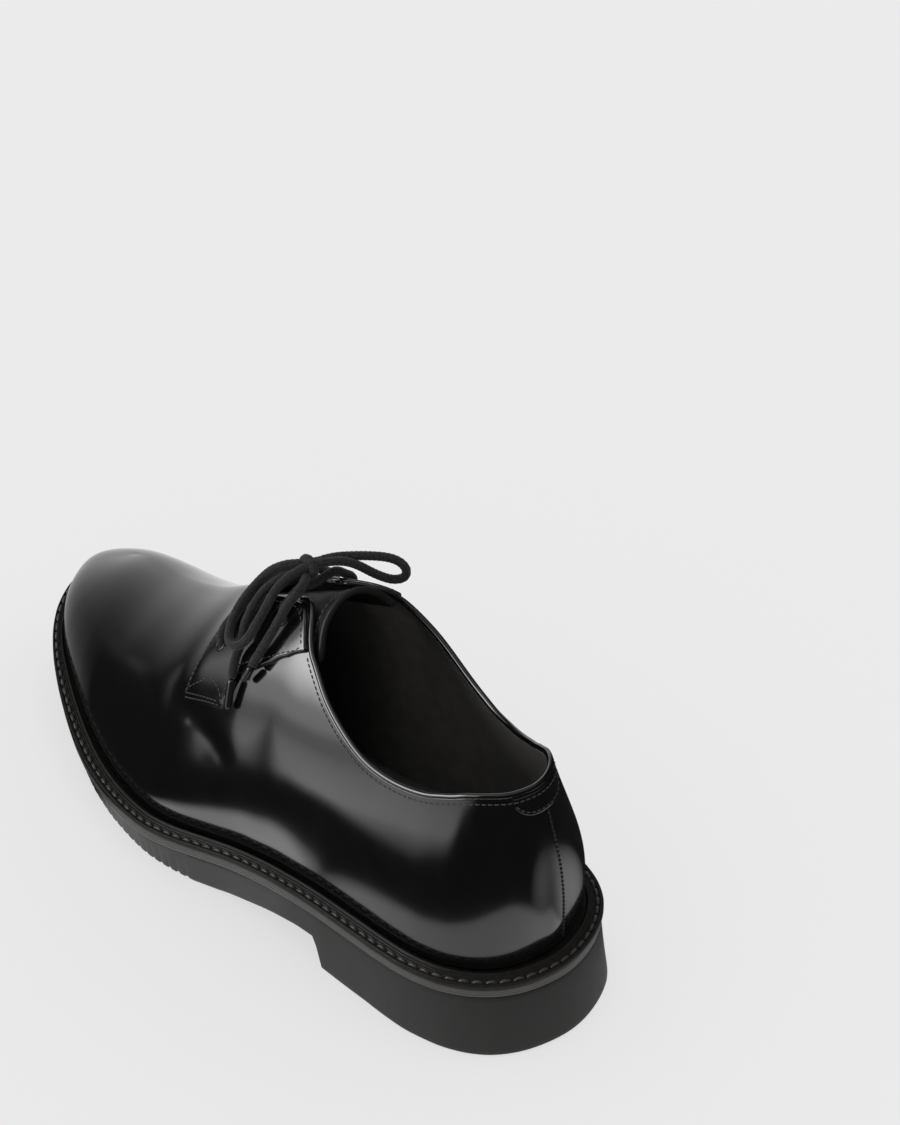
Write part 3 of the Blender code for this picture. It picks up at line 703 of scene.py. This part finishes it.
class Finish:
    """A material: even values sit on the shader's own sockets, varying ones are fed to it."""

    def __init__(self, name, even):
        self.material = bpy.data.materials.new(name)
        self.material.use_nodes = True
        self.tree = self.material.node_tree
        self.shader = self.tree.nodes["Principled BSDF"]
        for socket, value in even.items():
            self.shader.inputs[socket].default_value = value
        self.place = self.node("ShaderNodeTexCoord", output="Object")

    def node(self, kind, settings=None, inputs=None, output=0):
        made = self.tree.nodes.new(kind)
        for name, value in (settings or {}).items():
            setattr(made, name, value)
        for name, value in (inputs or {}).items():
            if isinstance(value, Tone):
                self.tree.links.new(value.socket, made.inputs[name])
            else:
                made.inputs[name].default_value = value
        return Tone(self, made.outputs[output])

    def noise(self, size, detail):
        """Soft noise whose patches are about size millimetres."""
        inputs = {"Vector": self.place, "Scale": 1 / (size * MM), "Detail": detail}
        return self.node("ShaderNodeTexNoise", {}, inputs)

    def cells(self, size):
        inputs = {"Vector": self.place, "Scale": 1 / (size * MM)}
        return self.node("ShaderNodeTexVoronoi", {"feature": "DISTANCE_TO_EDGE"}, inputs)

    def range(self, value, ends, low=0.0, high=1.0):
        """Runs from low to high while the value runs between the two ends."""
        inputs = {0: value, 1: ends[0], 2: ends[1], 3: low, 4: high}
        return self.node("ShaderNodeMapRange", {}, inputs)

    def blend(self, share, first, second):
        inputs = {0: share, 6: first, 7: second}
        return self.node("ShaderNodeMix", {"data_type": "RGBA"}, inputs, output=2)

    def bump(self, height, deep, strength):
        inputs = {"Strength": strength, "Distance": deep * MM, "Height": height}
        return self.node("ShaderNodeBump", {}, inputs)

    def feed(self, socket, tone):
        self.tree.links.new(tone.socket, self.shader.inputs[socket])


def grey(level, warm=0.0):
    return (level * (1 + warm), level, level * (1 - warm), 1.0)


def polished_leather():
    even = {"Coat Weight": 0.55, "Coat Roughness": 0.045, "Specular IOR Level": 0.5}
    finish = Finish("polished_leather", even)
    pores = finish.cells(0.45)
    clouds = finish.noise(9.0, 3.0)
    fine = finish.noise(0.7, 2.0)
    finish.feed("Base Color", finish.blend(clouds, grey(0.003, 0.02), grey(0.0055, 0.05)))
    finish.feed("Roughness", 0.1 + clouds * 0.05 + fine * 0.03)
    grain = finish.range(pores, (0.0, 0.12)) * 0.5 + fine * 0.5
    finish.feed("Normal", finish.bump(grain, 0.02, 0.12))
    return finish.material


def plain_finish(name):
    """A finish of the common pattern: cloudy colour and roughness over a fine grain."""
    gloss, cloud, grain, dark, light, rough, press = PLAIN_FINISHES[name]
    finish = Finish(name, {"Specular IOR Level": gloss})
    clouds = finish.noise(*cloud)
    relief = finish.noise(*grain) if len(grain) > 1 else finish.cells(*grain)
    finish.feed("Base Color", finish.blend(clouds, grey(*dark), grey(*light)))
    finish.feed("Roughness", rough[0] + clouds * rough[1])
    finish.feed("Normal", finish.bump(relief, *press))
    return finish.material


def cotton():
    finish = Finish("cotton", {"Specular IOR Level": 0.3, "Sheen Weight": 0.12, "Sheen Roughness": 0.5})
    fuzz = finish.noise(0.55, 3.0)
    strands = finish.range(fuzz, (0.35, 0.65))
    finish.feed("Base Color", finish.blend(strands, grey(0.004, 0.04), grey(0.024, 0.04)))
    finish.feed("Roughness", 0.75 + fuzz * 0.2)
    finish.feed("Normal", finish.bump(fuzz, 0.3, 0.8))
    return finish.material


def aglet_plastic():
    finish = Finish("aglet_plastic", {"Specular IOR Level": 0.5, "Coat Weight": 0.3, "Coat Roughness": 0.08})
    clouds = finish.noise(1.5, 2.0)
    finish.feed("Base Color", finish.blend(clouds, grey(0.008), grey(0.014)))
    finish.feed("Roughness", 0.18 + clouds * 0.1)
    return finish.material


def add_mesh(name, points, faces, material):
    mesh = bpy.data.meshes.new(name)
    mesh.from_pydata(np.asarray(points, float).tolist(), [], faces)
    mesh.materials.append(material)
    thing = bpy.data.objects.new(name, mesh)
    bpy.context.scene.collection.objects.link(thing)
    return thing


def add_piece(name, points, faces, material, slot, *nodes):
    """A smooth-shaded mesh that rides on the shoe in place of the named nodes, whose parts it hides, with
    the given finish; the slot is not used.
    """
    piece = add_mesh(name, to_part(points), faces, material)
    piece.data.polygons.foreach_set("use_smooth", np.ones(len(faces), bool))
    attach(piece, "root")
    if nodes:
        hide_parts(*nodes)
    return piece


def thicken(piece, thick, inner=None):
    """Gives a sheet its thickness on its inner side, with a finish of its own there if one is given."""
    solid = piece.modifiers.new("thickness", "SOLIDIFY")
    solid.thickness = thick * MM
    solid.offset = -1.0
    solid.use_even_offset = False
    if inner:
        piece.data.materials.append(inner)
        solid.material_offset = 1


def ring_faces(levels, count, closed=False):
    """Faces from each closed ring of points to the next and, if closed, from the last to the first."""
    turns = [(k, (k + 1) % count) for k in range(count)]
    faces = []
    for level in range(levels if closed else levels - 1):
        low, high = level * count, (level + 1) % levels * count
        faces += [(low + b, low + a, high + a, high + b) for a, b in turns]
    return faces


def grid_faces(columns, rows):
    return [
        (c * rows + r, c * rows + r + 1, (c + 1) * rows + r + 1, (c + 1) * rows + r)
        for c in range(columns - 1)
        for r in range(rows - 1)
    ]


def merged(meshes):
    """Points and faces of several meshes as one."""
    points, faces, first = [], [], 0
    for some, these in meshes:
        faces += [tuple(first + i for i in face) for face in these]
        points.append(some)
        first += len(some)
    return np.concatenate(points), faces


def swept_rim(name, rim, section, base, material, slot, node, narrow=1.0):
    """A closed section carried round the sole's edge: the section gives inset and height over base."""
    rings = [rim.at(inset * narrow, base + rise) for inset, rise in section]
    faces = ring_faces(len(rings), rim.count, closed=True)
    add_piece(name, np.concatenate(rings), faces, material, slot, node)


def make_outsole(material):
    rim = station_rim(outsole_stations())
    s = rim.plan[:, 0]
    inset = straight(UNDERSIDE_INSET, s)
    wave = np.abs((s / TREAD_PITCH) % 1 - 0.5) * 2
    groove = smoothstep((TREAD_GROOVE[0] - wave) / TREAD_GROOVE[1])
    fade = smoothstep((s - FOREFOOT) / TREAD_FADE[0]) * smoothstep((TREAD_END - s) / TREAD_FADE[1])
    under = straight(UNDERSIDE, s) + TREAD_DEPTH * groove * fade
    across, up = (share * TREAD_CHAMFER for share in CHAMFER_MIDDLE)
    rings = [
        rim.at(inset, under),
        rim.at(inset - across, under + up),
        rim.at(inset - TREAD_CHAMFER, under + TREAD_CHAMFER),
    ]
    low = rings[-1]
    high = rim.at(OUTSOLE_INSET, rim.deck - WELT_THICK - MIDSOLE_THICK - 2 * GAP)
    for share, beyond in OUTSOLE_SIDE:
        ring = low + share * (high - low)
        ring[:, :2] += rim.inward * beyond
        rings.append(ring)
    faces = ring_faces(len(rings), rim.count)
    last = (len(rings) - 1) * rim.count
    for first, turned in ((0, False), (last, True)):
        for k in range(rim.count // 2):
            corners = [first + k, first + k + 1]
            corners += [first + (rim.count - j) % rim.count for j in (k + 1, k)]
            corners = list(dict.fromkeys(corners))
            faces.append(corners[::-1] if turned else corners)
    piece = add_piece("outsole_rubber", np.concatenate(rings), faces, material, "rubber", "outsole")
    piece.data.set_sharp_from_angle(angle=math.radians(OUTSOLE_CREASE))


def make_sole_edges(band_material, welt_material, thread):
    rim = even_rim(RIM_SPACING)
    foot = rim.deck - WELT_THICK - GAP - MIDSOLE_THICK
    swept_rim("sole_band", rim, BAND_SECTION, foot, band_material, "grey_band", "midsole")
    narrow = np.minimum(1.0, spline(FEATHER, rim.plan[:, 0]) / FEATHER_SIDE)
    swept_rim("welt_strip", rim, WELT_SECTION, rim.deck, welt_material, "welt_leather", "welt", narrow)
    line = rim.at(WELT_STITCH_INSET * narrow, rim.deck - WELT_STITCH_SINK)
    line = np.r_[line, line[:1]]
    up = np.tile([0.0, 0.0, 1.0], (len(line), 1))
    add_stitches("welt_stitches", [stitches(line, up, WELT_STITCH)], thread, "welt_leather")


def stitches(line, normals, sizes):
    """Thread stitches along a line: each is a short bar whose ends dip into the leather."""
    pitch, length, radius, dip = sizes
    total = run_of(line)[-1]
    count = max(int(round(total / pitch)), 1)
    at = (np.arange(count) + 0.5) * total / count
    centre = along_line(line, at)
    forward = unit(along_line(line, at, unit(np.gradient(line, axis=0))))
    up = unit(along_line(line, at, normals))
    side = unit(np.cross(up, forward))
    turn = np.arange(STITCH_SIDES)[:, None] * 2 * math.pi / STITCH_SIDES
    spread = side[:, None] * np.cos(turn) + up[:, None] * np.sin(turn)
    rings = []
    for share in STITCH_SHARES:
        middle = centre + forward * (share * length / 2) - up * (dip * share**2)
        size = radius * math.sqrt(max(1 - share**6, STITCH_TIP))
        rings.append(middle[:, None] + spread * size)
    return np.stack(rings, 1)


def add_stitches(name, rows, thread, slot):
    """All the stitches of some rows as one piece."""
    add_piece(name, *merged([tube_mesh(bar) for bar in np.concatenate(rows)]), thread, slot)


def make_sock(material):
    """The sock inside the shoe: a thin sheet that cups up at its edge."""
    across = np.linspace(0, 1, SOCK_POINTS)[:, None]
    edge = RIM.at(SOCK_INSET, RIM.deck + SOCK_RISE)
    sheet = edge[: HALF + 1, None] * (1 - across) + edge[SKIN.partner[: HALF + 1], None] * across
    sheet[..., 2] += SOCK_CUP * np.abs(2 * across[:, 0] - 1) ** 4
    faces = [face[::-1] for face in grid_faces(HALF + 1, SOCK_POINTS)]
    piece = add_piece("sock_leather", sheet.reshape(-1, 3), faces, material, "lining", "insole")
    thicken(piece, SOCK_THICK)


def make_upper(leather, lining):
    """The closed front and the open collar in one sheet, lined on its inner side."""
    index = np.arange(COUNT * SKIN_ROWS).reshape(COUNT, SKIN_ROWS)
    shared = SKIN.closed & (np.arange(COUNT) > HALF)
    index[shared, -1] = index[SKIN.partner[shared], -1]
    ahead = np.roll(index, -1, axis=0)
    corners = np.stack([index[:, :-1], index[:, 1:], ahead[:, 1:], ahead[:, :-1]], -1)
    used, corners = np.unique(corners.reshape(-1), return_inverse=True)
    faces = [tuple(dict.fromkeys(face)) for face in corners.reshape(-1, 4).tolist()]
    points = SKIN.grid.reshape(-1, 3)[used]
    piece = add_piece("upper_leather", points, faces, leather, "polished_leather", "upper")
    thicken(piece, WALL, lining)


def spaced(count, margin):
    """Shares from 0 to 1, with a few close together at both ends for a rounded edge."""
    near = np.array([0.0, 0.12, 0.3, 0.55, 0.8]) * margin
    return np.r_[near, np.linspace(margin, 1 - margin, count), 1 - near[::-1]]


def pillow(name, k, v, sizes, turned, material, node):
    """A leather piece on the upper over a grid of places, with rounded edges that meet the upper."""
    crown, rounding, sink = sizes
    base = SKIN.at(k, v)
    outline = np.concatenate([base[0], base[-1], base[:, 0], base[:, -1]])
    rise = np.clip(distance_to(outline, base) / rounding, 0, 1)
    lift = (crown + sink) * np.sqrt(1 - (1 - rise) ** 2) - sink
    points = base + SKIN.normal(k, v) * lift[..., None]
    faces = grid_faces(*k.shape)
    if turned:
        faces = [face[::-1] for face in faces]
    piece = add_piece(name, points.reshape(-1, 3), faces, material, "polished_leather", node)
    thicken(piece, PILLOW_THICK)


def facing_places(a, b, side):
    """Ring places and rises of a lacing flap: a runs from its front edge back, b from its foot up."""
    front = FACING_FRONT[0] + b * (FACING_FRONT[1] - FACING_FRONT[0])
    foot = straight(FACING_FOOT, a)
    return SKIN.place_of(front + a * (FACING_REAR - front), side), foot + b * (FACING_TOP - foot)


def make_facings(material):
    columns = spaced(FACING_COLUMNS, FACING_MARGINS[0])
    a, b = np.meshgrid(columns, spaced(FACING_RISES, FACING_MARGINS[1]), indexing="ij")
    sizes = FACING_CROWN, FACING_ROUND, FACING_SINK
    for name, side in (("lateral", 1), ("medial", -1)):
        k, v = facing_places(a, b, side)
        pillow(f"flap_{name}", k, v, sizes, side > 0, material, f"facing_{name}")


def tab_foot(across):
    """Ring places and rises along the foot of the heel tab, across it from -1 to 1."""
    k = SKIN.place_round_heel(TAB_MIDDLE + TAB_REACH * across)
    return k, TAB_FOOT + (TAB_END_FOOT - TAB_FOOT) * np.abs(across) ** 4


def make_tab(material):
    columns = 2 * spaced(TAB_COLUMNS, TAB_MARGINS[0]) - 1
    across, b = np.meshgrid(columns, spaced(TAB_RISES, TAB_MARGINS[1]), indexing="ij")
    k, foot = tab_foot(across)
    sizes = TAB_CROWN, TAB_ROUND, TAB_SINK
    pillow("heel_tab", k, foot + b * (TAB_TOP - foot), sizes, False, material, "back_tab")


def tongue_sheet(share, end):
    s = end[:, 0] + share * (TONGUE_FRONT - end[:, 0])
    middle = spline(RIDGE, end[:, 0], 1)
    y = (end[:, 1] - middle) * (1 - share * (1 - TONGUE_NARROW))
    sheet = spline(RIDGE, s, 2) - TONGUE_SINK - TONGUE_ARCH * y * y
    own = end[:, 2] - spline(RIDGE, end[:, 0], 2) + TONGUE_SINK + TONGUE_ARCH * (end[:, 1] - middle) ** 2
    return np.stack([s, spline(RIDGE, s, 1) + y, sheet + own * (1 - share) ** 3], 1)


def make_tongue(material, thread):
    end = smooth_line(TONGUE_END, TONGUE_SPACING)
    sheet = np.stack([tongue_sheet(share, end) for share in np.linspace(0, 1, TONGUE_ROWS)])
    faces = grid_faces(TONGUE_ROWS, len(end))
    piece = add_piece("tongue_leather", sheet.reshape(-1, 3), faces, material, "lining", "tongue")
    thicken(piece, TONGUE_THICK)
    add_tube("tongue_bead", end - [0.0, 0.0, TONGUE_BEAD_DROP], TONGUE_BEAD, material, "lining")
    row = tongue_sheet(TONGUE_ROW, end)[2:-2]
    up = np.tile(TONGUE_ROW_UP, (len(row), 1))
    rows = [stitches(row + up * STITCH_LIFT, up, TONGUE_STITCH)]
    add_stitches("tongue_stitches", rows, thread, "cotton_lace")


def tube_rings(line, radius, sides, braid=0.0):
    """Rings of points round a line, with the crossing ridges of a braid if it has one."""
    ahead = unit(np.gradient(line, axis=0))
    first = np.cross(ahead[0], [0.0, 0.0, 1.0])
    if np.linalg.norm(first) < 0.1:
        first = np.cross(ahead[0], [0.0, 1.0, 0.0])
    frames = [unit(first)]
    for direction in ahead[1:]:
        frames.append(unit(frames[-1] - direction * np.dot(frames[-1], direction)))
    across = np.array(frames)
    up = np.cross(ahead, across)
    turn = np.arange(sides) * 2 * math.pi / sides
    run = run_of(line)[:, None]
    lead = 2 * math.pi * run / BRAID_PITCH
    strands = np.sin(BRAID_STRANDS * turn + lead) * np.sin(BRAID_STRANDS * turn - lead)
    size = radius + braid * strands - braid
    spread = across[:, None] * np.cos(turn)[None, :, None] + up[:, None] * np.sin(turn)[None, :, None]
    return line[:, None] + spread * size[..., None]


def tube_mesh(rings):
    """Points and faces of a tube with closed ends, from rings of points."""
    count, sides, _ = rings.shape
    faces = [(a, b, c, d) for b, a, d, c in ring_faces(count, sides)]
    faces.append(tuple(reversed(range(sides))))
    faces.append(tuple((count - 1) * sides + a for a in range(sides)))
    return rings.reshape(-1, 3), faces


def rounded(line, rings, reach):
    """Draws in the rings at both ends of a tube, so that it ends in a dome."""
    run = run_of(line)
    near = np.clip(np.minimum(run, run[-1] - run) / reach, 0, 1)
    size = np.sqrt(np.clip(1 - (1 - near) ** 2, 0.02, 1))
    return line[:, None] + (rings - line[:, None]) * size[:, None, None]


def add_tube(name, line, radius, material, slot, sides=12):
    points, faces = tube_mesh(rounded(line, tube_rings(line, radius, sides), radius))
    return add_piece(name, points, faces, material, slot)


def make_collar_binding(material):
    end = SKIN.place_of(COLLAR_END + BINDING_BEYOND, 1)
    line = smooth_line(SKIN.at(np.linspace(-end, end, BINDING_POINTS), 1.0, -BINDING_SINK), 1.0)
    line[:, 2] += BINDING_RISE
    add_tube("collar_binding", line, BINDING_RADIUS, material, "polished_leather")


def skin_line(places, side, lift):
    """A smooth line over the upper through (s, rise) places, with the face's normals."""
    table = np.c_[np.linspace(0, 1, len(places)), places]
    fine = np.linspace(0, 1, FINE_POINTS * len(places))
    k = SKIN.place_of(spline(table, fine, 1), side)
    v = spline(table, fine, 2)
    line = SKIN.at(k, v, lift)
    at = np.arange(0, run_of(line)[-1], FLAP_ROW_SPACING)
    return along_line(line, at), along_line(line, at, SKIN.normal(k, v))


def make_upper_stitches(thread):
    rows = []
    for side in (1, -1):
        for places in FLAP_ROWS:
            line, normals = skin_line(places, side, FACING_CROWN + FLAP_ROW_LIFT)
            rows.append(stitches(line, normals, FLAP_STITCH))
    end = SKIN.place_of(FACING_REAR - 1, 1)
    k = np.linspace(-end, end, COLLAR_ROW_POINTS)
    # Length of each profile, judged by its last tenth
    lengths = np.linalg.norm(SKIN.at(k, 1.0) - SKIN.at(k, 0.9), axis=1) / 0.1
    v = 1 - COLLAR_ROW_DROP / lengths
    tab_ends = SKIN.place_round_heel(TAB_MIDDLE + TAB_REACH * np.array([-1, 1]))
    lift = STITCH_LIFT + TAB_CROWN * ((k > tab_ends[0]) & (k < tab_ends[1]))
    rows.append(stitches(SKIN.at(k, v, lift), SKIN.normal(k, v), COLLAR_STITCH))
    k, foot = tab_foot(np.linspace(-TAB_ROW_REACH, TAB_ROW_REACH, TAB_ROW_POINTS))
    v = foot + TAB_ROW_RISE
    rows.append(stitches(SKIN.at(k, v, TAB_CROWN), SKIN.normal(k, v), FLAP_STITCH))
    add_stitches("upper_stitches", rows, thread, "cotton_lace")


def make_back_seam(material):
    """The seam up the back of the heel, as a row of short raised stitches."""
    v = np.linspace(SEAM_FOOT, TAB_FOOT - SEAM_GAP, SEAM_POINTS)
    k = SKIN.place_round_heel(spline(BACK_SEAM, v))
    rows = [stitches(SKIN.at(k, v, STITCH_LIFT), SKIN.normal(k, v), SEAM_STITCH)]
    add_stitches("back_seam", rows, material, "polished_leather")


def lace(route):
    """A braided lace along a route: its line and its mesh."""
    line = smooth_line(route, LACE_SPACING)
    rings = tube_rings(line, LACE_RADIUS, LACE_SIDES, BRAID_HEIGHT)
    return line, tube_mesh(rounded(line, rings, LACE_DOME))


def make_bow(cotton_material, plastic):
    """The bow's free loops and ends, each end with an aglet on its tip."""
    for side, route in (("lateral", LOOP_LATERAL), ("medial", LOOP_MEDIAL)):
        line, mesh = lace(route)
        piece = add_piece(f"bow_loop_{side}", *mesh, cotton_material, "cotton_lace", f"lace_loop_{side}")
    for end, route in (("front", END_FRONT), ("rear", END_REAR)):
        line, mesh = lace(route[: 1 - AGLET_POINTS])
        piece = add_piece(f"lace_tail_{end}", *mesh, cotton_material, "cotton_lace", f"lace_end_{end}")
        tip = smooth_line(route[-AGLET_POINTS:], AGLET_SPACING)
        aglet = add_tube(f"lace_aglet_{end}", tip, AGLET_RADIUS, plastic, "cotton_lace", AGLET_SIDES)


def make_knot(material):
    turn = np.linspace(0, KNOT_TURNS * 2 * math.pi, KNOT_POINTS) - KNOT_START * math.pi
    round_x, round_z = KNOT_WRAP[0] * np.cos(turn), KNOT_WRAP[1] * np.sin(turn)
    wrap = np.c_[round_x, KNOT_WRAP_STEP * (turn / turn[-1] - 0.5), round_z] + KNOT_AT
    points, faces = merged([lace(strand)[1] for strand in KNOT_STRANDS + [wrap[::KNOT_SKIP]]])
    add_piece("bow_knot", points, faces, material, "cotton_lace", "lace_knot")


def make_lace_bars(material, leather):
    turn = np.linspace(0, 2 * math.pi, EYELET_POINTS)[:, None]
    rims = []
    for number, (s, *eyelets) in enumerate(LACE_BARS, 1):
        halves = []
        for side, rise in zip((1, -1), eyelets):
            k = SKIN.place_of(s, side)
            rises = np.linspace(rise + BAR_STEPS[1], 1, len(BAR_LIFTS) - 2)
            halves.append(SKIN.at(k, np.r_[rise, rise + BAR_STEPS[0], rises], BAR_LIFTS))
            normal = SKIN.normal(k, rise)
            across = unit(np.cross(normal, [0.0, 0.0, 1.0]))
            spread = np.cos(turn) * across + np.sin(turn) * np.cross(normal, across)
            ring = SKIN.at(k, rise, FACING_CROWN) + EYELET_RADIUS * spread
            rims.append(tube_mesh(tube_rings(ring, EYELET_WIRE, EYELET_SIDES)))
        middle = (halves[0][-1:] + halves[1][-1:]) / 2
        _, mesh = lace(np.r_[halves[0], middle, halves[1][::-1]])
        add_piece(f"lace_run_{number}", *mesh, material, "cotton_lace", f"lace_bar_{number}")
    add_piece("eyelet_rims", *merged(rims), leather, "polished_leather")


def place_camera():
    turn, tilt = math.radians(CAMERA_TURN), math.radians(CAMERA_TILT)
    back = np.array([math.sin(turn) * math.cos(tilt), -math.cos(turn) * math.cos(tilt), math.sin(tilt)])
    right = unit(np.cross(-back, [0.0, 0.0, 1.0]))
    up = np.cross(right, -back)
    eye = to_part(np.array(CAMERA_AIM) + back * CAMERA_DISTANCE + right * CAMERA_RIGHT + up * CAMERA_UP)
    data = bpy.data.cameras.new("camera")
    data.sensor_width = CAMERA_SENSOR
    data.lens = CAMERA_LENS
    camera = bpy.data.objects.new("camera", data)
    matrix = np.eye(4)
    matrix[:3] = np.stack([right, up, back, eye], 1)
    camera.matrix_world = Matrix(matrix.tolist())
    bpy.context.scene.collection.objects.link(camera)
    bpy.context.scene.camera = camera


def add_stage(name, points, faces, material):
    thing = add_mesh(name, points, faces, material)
    return thing


def only_gloss(thing):
    """A studio card that shows in polished surfaces and neither lights nor hides anything else."""
    thing.visible_camera = False
    thing.visible_diffuse = False
    thing.visible_shadow = False
    thing.visible_transmission = False


def card_finish(name):
    finish = Finish(name, {"Base Color": grey(0.0), "Specular IOR Level": 0.0, "Emission Strength": 1.0})
    axes = [finish.node("ShaderNodeSeparateXYZ", {}, {0: finish.place}, axis) for axis in ("X", "Y", "Z")]
    return finish, axes


def floor_square(height):
    half = FLOOR_HALF
    return [(-half, -half, height), (half, -half, height), (half, half, height), (-half, half, height)]


def make_floor():
    even = {"Base Color": grey(FLOOR_PAINT), "Roughness": 0.9, "Specular IOR Level": 0.0}
    finish = Finish("pale_floor", {**even, "Emission Color": grey(FLOOR_GLOW), "Emission Strength": 1.0})
    add_stage("floor", floor_square(FLOOR_LEVEL), [(0, 1, 2, 3)], finish.material)


def front_light(finish, x, y):
    """Light from beyond the toe, by its direction seen from the shoe."""
    direction = y.math("ARCTAN2", x)
    return finish.range(direction, FRONT_LIGHT, FRONT_GLOW, 0.0) * finish.range(direction, FRONT_END)


def make_floor_card():
    """The floor as the leather mirrors it: bright by the shoe and towards the lights, dark elsewhere."""
    finish, (x, y, _) = card_finish("floor_mirrored")
    right = finish.range(x - y * WINDOW_RIGHT[1] - WINDOW_RIGHT[0], WINDOW_SOFT, 1.0, 0.0)
    left = finish.range(x + y * WINDOW_LEFT[2], WINDOW_LEFT, 0.0, WINDOW_GLOW)
    left = left * finish.range(x + y * WINDOW_END[2], WINDOW_END)
    far = finish.range(y, WINDOW_FAR, 1.0, WINDOW_DIM)
    glow = finish.range(y, WINDOW_NEAR) * right * left * far + front_light(finish, x, y)
    for centre_x, centre_y, half_x, half_y, full, level in POOLS:
        along = (x - centre_x) * (1 / half_x)
        across = (y - centre_y) * (1 / half_y)
        pool = finish.range(along * along + across * across, (full, 1.0), level, DARK_GLOW)
        glow = glow.math("MAXIMUM", pool)
    finish.feed("Emission Color", glow)
    only_gloss(add_stage("floor_mirrored", floor_square(0.0), [(0, 1, 2, 3)], finish.material))


def make_dome():
    """The rest of the room as the leather mirrors it: front light, wall, window with softbox, top light."""
    finish, axes = card_finish("room_mirrored")
    x, y, z = (axis * (1 / DOME_RADIUS) for axis in axes)
    front = front_light(finish, x, y) * finish.range(z, FRONT_HIGH, 1.0, 0.0)
    direction = y.math("ARCTAN2", x)
    wall = finish.range(z, WALL_LOW, 0.0, WALL_GLOW) * finish.range(direction, WALL_FIRST)
    wall = wall * finish.range(direction, WALL_LAST, 1.0, 0.0)
    window = finish.range(y - x * ROOM_LEFT[2], ROOM_LEFT) * finish.range(x - y * ROOM_RIGHT[2], ROOM_RIGHT)
    box = finish.range(z, SOFTBOX_LOW, WINDOW_GLOW * WINDOW_DIM, SOFTBOX_GLOW)
    box = box * finish.range(z, SOFTBOX_HIGH, 1.0, 0.0)
    top = finish.range(z, TOP_LOW, DARK_GLOW, TOP_GLOW)
    finish.feed("Emission Color", front + wall + window * box + top)
    turns = np.linspace(0, 2 * math.pi, DOME_SIDES, endpoint=False)
    rings = []
    for tilt in np.linspace(*DOME_TILTS, DOME_LEVELS):
        circle = np.c_[np.cos(turns), np.sin(turns)] * math.cos(tilt)
        rings.append(np.c_[circle, np.full(DOME_SIDES, math.sin(tilt))])
    last = (DOME_LEVELS - 1) * DOME_SIDES
    faces = ring_faces(DOME_LEVELS, DOME_SIDES) + [tuple(range(last, last + DOME_SIDES))]
    only_gloss(add_stage("room_mirrored", np.concatenate(rings) * DOME_RADIUS, faces, finish.material))


def make_studio():
    make_floor()
    make_floor_card()
    make_dome()
    world = bpy.data.worlds.new("studio")
    world.use_nodes = True
    world.node_tree.nodes["Background"].inputs["Color"].default_value = grey(SKY_GLOW)
    bpy.context.scene.world = world
    bpy.context.scene.view_settings.view_transform = "Standard"


place_camera()
cotton_finish = cotton()
aglet_finish = aglet_plastic()
make_bow(cotton_finish, aglet_finish)
thread_finish = plain_finish("waxed_thread")
leather_finish = polished_leather()
lining_finish = plain_finish("lining_leather")
welt_finish = plain_finish("welt_leather")
make_knot(cotton_finish)
make_lace_bars(cotton_finish, leather_finish)
make_outsole(plain_finish("rubber"))
make_sole_edges(plain_finish("grey_band"), welt_finish, thread_finish)
make_sock(lining_finish)
make_upper(leather_finish, lining_finish)
make_facings(leather_finish)
make_tab(leather_finish)
make_tongue(plain_finish("tongue_leather"), thread_finish)
make_collar_binding(leather_finish)
make_upper_stitches(thread_finish)
make_back_seam(aglet_finish)
make_studio()
